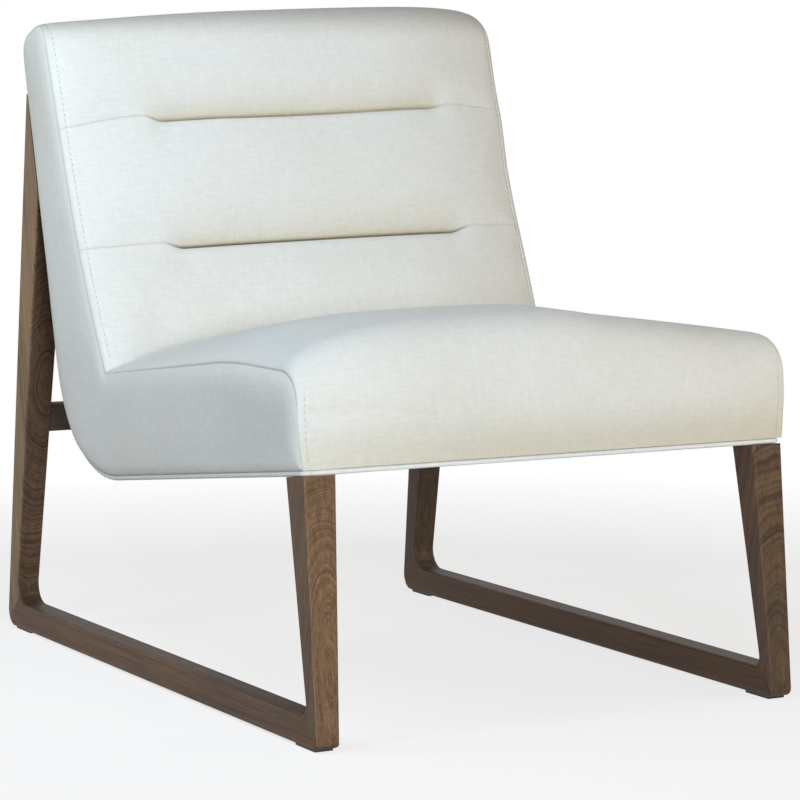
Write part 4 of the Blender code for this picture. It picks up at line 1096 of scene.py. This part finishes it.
class Builder:
    """Adds nodes to a material or world. Inputs are fed outputs or constants, by name or number."""

    def __init__(self, owner):
        owner.use_nodes = True
        self.owner = owner
        self.tree = owner.node_tree
        self.shader = self.tree.nodes.get("Principled BSDF")

    def feed(self, node, inputs):
        for name, value in inputs.items():
            socket = node.inputs[name]
            if isinstance(value, bpy.types.NodeSocket):
                self.tree.links.new(value, socket)
            else:
                socket.default_value = (*value, 1.0) if socket.type == "RGBA" else value

    def add(self, kind, inputs=None, **settings):
        node = self.tree.nodes.new(kind)
        for key, value in settings.items():
            setattr(node, key, value)
        self.feed(node, inputs or {})
        return node

    def math(self, operation, first, second=0.0):
        return self.add("ShaderNodeMath", {0: first, 1: second}, operation=operation).outputs[0]

    def times(self, first, second):
        return self.math("MULTIPLY", first, second)

    def total(self, first, first_share, second, second_share):
        return self.math("ADD", self.times(first, first_share), self.times(second, second_share))

    def local(self):
        return self.add("ShaderNodeTexCoord").outputs["Object"]

    def mapping(self, vector, **inputs):
        return self.add("ShaderNodeMapping", {"Vector": vector, **inputs}).outputs[0]

    def noise(self, vector, scale, location=(0, 0, 0), detail=2.0, roughness=0.5):
        """Noise with a scale of its own on each axis."""
        placed = self.mapping(vector, Scale=scale, Location=location)
        values = {"Vector": placed, "Scale": 1.0, "Detail": detail, "Roughness": roughness}
        return self.add("ShaderNodeTexNoise", values).outputs["Fac"]

    def ramp(self, factor, *stops):
        node = self.add("ShaderNodeValToRGB", {"Fac": factor})
        elements = node.color_ramp.elements
        while len(elements) < len(stops):
            elements.new(0.5)
        for element, (position, color) in zip(elements, stops):
            element.position = position
            element.color = (*color, 1.0)
        return node.outputs["Color"]

    def spread(self, value, low, high, start=0.0, end=1.0):
        """A value from start to end mapped to low to high."""
        values = {"Value": value, "From Min": start, "From Max": end, "To Min": low, "To Max": high}
        return self.add("ShaderNodeMapRange", values).outputs["Result"]

    def mix(self, factor, first, second, blend="MIX"):
        """Two colours mixed: they are inputs 6 and 7 of the node, and the result is output 2."""
        inputs = {0: factor, 6: first, 7: second}
        return self.add("ShaderNodeMix", data_type="RGBA", blend_type=blend, inputs=inputs).outputs[2]

    def tint(self, color, tone, share=1.0):
        return self.mix(share, color, tone, "MULTIPLY")

    def surface(self, color, height, depth, strength, values):
        """The finished material: its colour, its bump and the shader's other inputs."""
        bump = self.add("ShaderNodeBump", {"Height": height, "Distance": depth, "Strength": strength})
        self.feed(self.shader, {"Base Color": color, "Normal": bump.outputs[0], **values})
        return self.owner


def new_material(name):
    return Builder(bpy.data.materials.new(name))


def linear(red, green, blue):
    """An sRGB colour from 0 to 255 as linear values."""
    values = []
    for share in (red / 255, green / 255, blue / 255):
        values.append(share / 12.92 if share <= 0.04045 else ((share + 0.055) / 1.055) ** 2.4)
    return tuple(values)


WHITE = (1.0, 1.0, 1.0)
# Tints of painted shade: warm above channels and low on the front, dark in seams and channel lines
PAINTED_WARM_SHADE_TINT = (0.85, 0.80, 0.67)
PAINTED_SHADE_TINT = (0.40, 0.36, 0.31)


def linen_material(name, base, warm):
    """Slub linen: fine threads both ways, longer thick threads, a cloudy tone, and painted shade from
    two attributes: dark in seams, channel lines and over parts of the covers; warm above the
    channel lines, low on the seat's front and in its drapes.
    """
    b = new_material(name)
    uv = b.add("ShaderNodeUVMap", uv_map="UVMap").outputs["UV"]
    slub_across = b.noise(uv, (34, 800, 1))
    slub_up = b.noise(uv, (620, 44, 1), (3, 7, 0))
    thread_across = b.noise(uv, (300, 1900, 1), (1, 2, 0), 1.0)
    thread_up = b.noise(uv, (1900, 300, 1), (5, 4, 0), 1.0)
    uneven = b.noise(uv, (75, 230, 1), (2, 9, 0), 2.0, 0.55)
    upright_streaks = b.noise(uv, (170, 40, 1), (8, 1, 0), 2.0, 0.55)
    slubs = b.total(slub_across, 0.95, slub_up, 0.55)
    threads = b.total(thread_across, 1.2, thread_up, 0.8)
    color = b.ramp(b.noise(uv, (5, 5, 5)), (0.35, base), (0.65, warm))
    for factor, low, dark, high, pale in (
        (b.times(slubs, 0.66), 0.34, (0.945, 0.94, 0.925), 0.52, 1.0),
        (b.times(threads, 0.5), 0.35, (0.97, 0.97, 0.965), 0.62, 1.01),
        (uneven, 0.30, (0.965, 0.965, 0.955), 0.68, 1.015),
        (upright_streaks, 0.30, (0.98, 0.98, 0.975), 0.68, 1.01),
    ):
        color = b.tint(color, b.ramp(factor, (low, dark), (high, (pale, pale, pale))))
    # Painted shade multiplied in where the two attributes are set
    for kind, tone in (("fold", PAINTED_WARM_SHADE_TINT), ("seam", PAINTED_SHADE_TINT)):
        mark = b.add("ShaderNodeAttribute", attribute_name=kind).outputs["Fac"]
        color = b.mix(mark, color, b.tint(color, tone))
    return b.surface(color, b.total(slubs, 0.8, threads, 0.6), 0.0003, 0.5, {
        "Roughness": b.spread(slub_across, 0.78, 0.95),
        "Sheen Weight": 0.15,
        "Sheen Roughness": 0.5,
        "Specular IOR Level": 0.25,
    })


def arris_mask(b, reach):
    """1 along the arrises and 0 on the faces, from how much a rounded normal turns away."""
    rounded = b.add("ShaderNodeBevel", {"Radius": reach}, samples=4).outputs[0]
    flat = b.add("ShaderNodeNewGeometry").outputs["True Normal"]
    turn = b.add("ShaderNodeVectorMath", {0: rounded, 1: flat}, operation="DOT_PRODUCT")
    return b.spread(turn.outputs["Value"], 0.0, 1.0, 0.995, 0.80)


def split(b, vector):
    return b.add("ShaderNodeSeparateXYZ", {0: vector}).outputs


def wood_material(name, lean, location, seed, rings_per_metre, slope, bend, contrast,
                  front_painted_shading, side_painted_shading):
    """Brown stained oak: growth rings cut obliquely, open pores, uneven stain, satin finish. The grain
    runs along the member, which leans back by lean from upright. Slope and bend set how steeply the
    rings cross its front face, where they show as arches; the sides show plain streaks. Front and
    side faces are tinted apart with painted light and shade."""
    b = new_material(name)
    coordinates = b.add("ShaderNodeTexCoord").outputs
    local = b.mapping(b.mapping(coordinates["Object"], Location=location), Rotation=(lean, 0, 0))
    warp = b.noise(local, (16, 16, 10), (seed, seed * 0.7, seed * 1.3), 2.0, 0.6)
    shift = b.times(b.math("SUBTRACT", warp, 0.5), 0.014)
    run, far, height = split(b, local)
    across = b.math("ADD", run, shift)
    above = b.math("MAXIMUM", height, 0.0)
    climb = b.total(height, slope, b.times(above, above), bend)
    depth = b.math("ADD", b.math("ADD", far, climb), shift)
    radius = b.math("SQRT", b.total(across, across, depth, depth))
    ring_inputs = {"X": b.times(radius, rings_per_metre), "Y": b.times(height, 1.5), "Z": seed}
    ring_place = b.add("ShaderNodeCombineXYZ", ring_inputs).outputs[0]
    rings = b.noise(ring_place, (1, 1, 1), roughness=0.6)
    facing = split(b, coordinates["Normal"])[0]
    beside = b.times(facing, facing)
    pores = b.noise(local, (950, 950, 26), (seed, 0, 0), 2.0, 0.6)
    lines = b.noise(local, (420, 420, 7), (seed, seed, 2), 2.0, 0.6)
    streaks = b.noise(local, (150, 150, 3.0), (0, seed, 0), 4.0, 0.65)
    patches = b.noise(local, (12, 12, 5), (seed, seed, 0))
    figured = b.ramp(rings, (0.30, linear(66, 48, 36)), (0.42, linear(98, 77, 58)),
                     (0.52, linear(122, 98, 76)), (0.70, linear(136, 110, 85)))
    plain = b.ramp(rings, (0.30, linear(98, 78, 60)), (0.70, linear(126, 102, 80)))
    color = b.mix(b.math("MAXIMUM", beside, 1.0 - contrast), figured, plain)
    for factor, share, stops in (
        (streaks, 1.0, ((0.28, (0.66, 0.64, 0.62)), (0.5, WHITE), (0.75, (1.14, 1.12, 1.10)))),
        (lines, 1.0, ((0.34, (0.74, 0.72, 0.70)), (0.56, (1.06, 1.05, 1.04)))),
        (patches, 1.0, ((0.3, (0.78, 0.78, 0.80)), (0.7, (1.16, 1.12, 1.06)))),
        (pores, 0.85, ((0.36, (0.58, 0.55, 0.53)), (0.46, WHITE))),
    ):
        color = b.tint(color, b.ramp(factor, *stops), share)
    # Painted light and shade: one tint for the front faces and one for the sides
    color = b.tint(color, b.mix(beside, front_painted_shading, side_painted_shading))
    # Lighter along the arrises
    color = b.mix(arris_mask(b, 0.0022), color, b.tint(color, (1.45, 1.40, 1.32)))
    return b.surface(color, b.math("ADD", pores, b.times(lines, 0.6)), 0.0003, 0.5, {
        "Roughness": b.spread(streaks, 0.66, 0.46),
        "Specular IOR Level": 0.3,
    })


def plain_grain(name, light, dark, scale):
    """Bare wood or ply: fine streaks across the piece."""
    b = new_material(name)
    streaks = b.noise(b.local(), scale, (0, 0, 0), 3.0, 0.6)
    color = b.ramp(streaks, (0.3, linear(*dark)), (0.7, linear(*light)))
    return b.surface(color, streaks, 0.0003, 0.4, {"Roughness": 0.7})


def fine_surface(name, light, dark, scale, roughness, metallic=0.0, depth=0.0002):
    """A finish with fine mottling: powder coat, zinc, moulded plastic or non-woven cloth."""
    b = new_material(name)
    speckle = b.noise(b.local(), (scale,) * 3, (0, 0, 0), 3.0, 0.6)
    mixed = b.total(speckle, 0.6, b.noise(b.local(), (scale * 0.04,) * 3), 0.4)
    color = b.ramp(mixed, (0.35, linear(*dark)), (0.65, linear(*light)))
    rough = b.spread(speckle, roughness - 0.08, roughness + 0.08)
    return b.surface(color, speckle, depth, 0.5, {"Roughness": rough, "Metallic": metallic})


def woven_strap(name):
    """Elastic webbing: ribs across and fine threads along."""
    b = new_material(name)
    ribs = b.add("ShaderNodeTexWave", {"Vector": b.local(), "Scale": 120.0}).outputs["Fac"]
    mixed = b.total(ribs, 0.5, b.noise(b.local(), (900, 900, 900)), 0.5)
    color = b.ramp(mixed, (0.3, linear(22, 22, 24)), (0.75, linear(62, 60, 58)))
    return b.surface(color, mixed, 0.0004, 0.6, {"Roughness": 0.85})


def dress(obj, material):
    obj.data.materials.clear()
    obj.data.materials.append(material)


linen = linen_material("linen_cover", linear(229, 230, 226), linear(226, 226, 220))
for piece in [seat, back, outside_back, *panels, *welts]:
    dress(piece, linen)
dress(stitching, linen_material("linen_thread", linear(192, 191, 184), linear(180, 178, 170)))
dress(dust, fine_surface("black_non_woven", (40, 40, 42), (24, 24, 26), 1400.0, 0.9))

# Oak members: lean and origin of the grain, seed, rings in a metre, slope, bend, contrast, and the
# painted light and shade of front and side faces
FRONT_LEAN = math.radians(-8.0)
REAR_LEAN = math.radians(8.5)
LYING = math.radians(90)
LEG_CENTRE = FRAME_HALF - 0.018
OAK = {
    "left_front_leg": (FRONT_LEAN, (LEG_CENTRE - 0.002, 0.453, -0.19), 1.7, 900.0, 0.01, 1.3, 0.4,
                       (0.97, 0.88, 0.72), (0.67, 0.65, 0.58)),
    "right_front_leg": (FRONT_LEAN, (-LEG_CENTRE - 0.004, 0.444, -0.05), 2.7, 640.0, 0.15, 0.0, 1.0,
                        (0.43, 0.41, 0.36), (0.76, 0.70, 0.67)),
    "left_rear_leg": (REAR_LEAN, (LEG_CENTRE - 0.007, -0.410, -0.50), 4.1, 900.0, -0.12, 0.0, 1.0,
                      (0.53, 0.48, 0.41), (1.49, 1.55, 1.39)),
    "right_rear_leg": (REAR_LEAN, (-LEG_CENTRE, -0.415, -0.3), 5.1, 700.0, 0.06, 0.0, 0.5,
                       (0.46, 0.46, 0.44), (0.46, 0.45, 0.43)),
    "left_runner": (LYING, (LEG_CENTRE, 0.0, 0.01), 6.9, 620.0, 0.03, 0.0, 0.4,
                    (0.37, 0.33, 0.28), (0.68, 0.56, 0.43)),
    "right_runner": (LYING, (-LEG_CENTRE, 0.0, 0.01), 8.9, 620.0, 0.03, 0.0, 0.4,
                     (0.37, 0.33, 0.28), (0.58, 0.46, 0.32)),
}
for name, values in OAK.items():
    dress(nodes[name], wood_material(name + "_oak", *values))
dress(nodes["rear_stretcher"], plain_grain("stretcher_oak", (96, 78, 60), (54, 42, 32), (6, 260, 260)))
beech = plain_grain("bare_beech", (214, 178, 138), (190, 150, 110), (200, 200, 200))
plywood = plain_grain("bare_plywood", (214, 188, 150), (186, 154, 114), (12, 420, 420))
zinc = fine_surface("zinc_plate", (196, 196, 192), (160, 162, 160), 900.0, 0.35, 1.0, 0.00005)
finishes = {
    "_glide": fine_surface("black_plastic", (30, 30, 31), (20, 20, 21), 1800.0, 0.55),
    "_leg_plate": fine_surface("black_powder_coat", (34, 34, 36), (22, 22, 23), 2600.0, 0.5),
    "bolt": zinc,
    "screw": zinc,
    "strap": woven_strap("elastic_webbing"),
    "_tenon": beech,
    "_dowel": beech,
    "_rail": plywood,
    "_post": plywood,
}
for name, obj in nodes.items():
    for word, material in finishes.items():
        if word in name:
            dress(obj, material)
            break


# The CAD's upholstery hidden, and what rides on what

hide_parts("seat_cover", "seat_foam")
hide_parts("inside_back_cover", "inside_back_foam")
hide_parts("left_side_cover")
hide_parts("right_side_cover")
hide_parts("outside_back_cover")
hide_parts("dust_cover")
for welt in welts:
    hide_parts(welt.name[:-len("_cord")])
for piece in [seat, back, outside_back, stitching, *panels, *welts]:
    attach(piece, "root")
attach(dust, "root")


# Camera, floor and light

CAMERA_PLACE = (-1.806, -3.369, 0.732)
CAMERA_TURN = math.radians(-28.64)
CAMERA_PITCH = math.radians(6.11)
CAMERA_ROLL = math.radians(-0.04)
IMAGE_SIZE = 800
FOCAL_PIXELS = 3139.0
FLOOR_SIZE = 12.0
FLOOR_PALE = (0.62, 0.62, 0.62)
FLOOR_SHADOW = 0.25
FLOOR_SHADOW_REACH = 0.9
WORLD_STRENGTH = 0.03
WORLD_COLOR = (0.97, 0.985, 1.0)

# Disk lamps, all turned to the seat: place, size in metres, power in watts, colour
LIGHT_TARGET = Vector((0.0, 0.1, 0.5))
LIGHTS = {
    "camera_light": ((-1.15, -3.4, 0.95), 1.0, 90.0, (0.83, 0.91, 1.0)),
    "right_light": ((2.0, -2.2, 1.2), 1.4, 25.0, (1.0, 0.70, 0.36)),
    "left_light": ((-1.5, 0.35, 1.4), 0.8, 9.5, (0.96, 0.95, 0.93)),
    "upper_light": ((-0.9, -0.4, 1.7), 0.5, 9.0, (0.62, 0.80, 1.0)),
}


def add_camera():
    data = bpy.data.cameras.new("camera")
    data.sensor_width = 36.0
    data.lens = FOCAL_PIXELS / IMAGE_SIZE * data.sensor_width
    camera = add_object("camera", data)
    camera.location = CAMERA_PLACE
    look = Vector((
        -math.sin(CAMERA_TURN) * math.cos(CAMERA_PITCH),
        math.cos(CAMERA_TURN) * math.cos(CAMERA_PITCH),
        -math.sin(CAMERA_PITCH),
    ))
    aim = look.to_track_quat("-Z", "Y").to_matrix().to_4x4()
    camera.rotation_euler = (aim @ Matrix.Rotation(CAMERA_ROLL, 4, "Z")).to_euler()
    bpy.context.scene.camera = camera


def seen_directly(b):
    """1 for rays from the camera, from a mirror or through glass, and 0 for scattered light."""
    rays = b.add("ShaderNodeLightPath").outputs
    mirrored = b.math("MAXIMUM", rays["Is Camera Ray"], rays["Is Glossy Ray"])
    return b.math("MAXIMUM", mirrored, rays["Is Transmission Ray"])


def show_either(b, factor, first, second, output):
    chooser = b.add("ShaderNodeMixShader", {0: factor, 1: first.outputs[0], 2: second.outputs[0]})
    b.feed(b.tree.nodes[output], {"Surface": chooser.outputs[0]})


def add_floor():
    """A pale floor that the camera sees as white, with the object's soft shadow."""
    bm = bmesh.new()
    bmesh.ops.create_grid(bm, x_segments=1, y_segments=1, size=FLOOR_SIZE)
    floor = finish_mesh("floor", bm)
    b = new_material("pale_floor")
    distance = b.add("ShaderNodeVectorMath", {0: b.local()}, operation="LENGTH").outputs["Value"]
    far = b.spread(distance, 1.0 - FLOOR_SHADOW, 1.0, FLOOR_SHADOW_REACH, 2 * FLOOR_SHADOW_REACH)
    seen = seen_directly(b)
    color = b.mix(seen, FLOOR_PALE, WHITE)
    b.feed(b.shader, {"Base Color": color, "Roughness": 0.9, "Specular IOR Level": 0.1})
    show_either(b, b.times(seen, far), b.shader, b.add("ShaderNodeEmission"), "Material Output")
    dress(floor, b.owner)


def add_world():
    world = bpy.data.worlds.new("studio")
    bpy.context.scene.world = world
    b = Builder(world)
    background = b.tree.nodes["Background"]
    b.feed(background, {"Color": WORLD_COLOR, "Strength": WORLD_STRENGTH})
    white = b.add("ShaderNodeBackground", {"Color": WHITE, "Strength": 1.0})
    show_either(b, seen_directly(b), background, white, "World Output")


def add_light(name, location, size, power, color):
    data = bpy.data.lights.new(name, "AREA")
    data.shape = "DISK"
    data.size = size
    data.energy = power
    data.color = color
    lamp = add_object(name, data)
    lamp.location = location
    lamp.rotation_euler = (LIGHT_TARGET - Vector(location)).to_track_quat("-Z", "Y").to_euler()


add_camera()
add_floor()
add_world()
for name, values in LIGHTS.items():
    add_light(name, *values)

bpy.context.scene.view_settings.view_transform = "Standard"
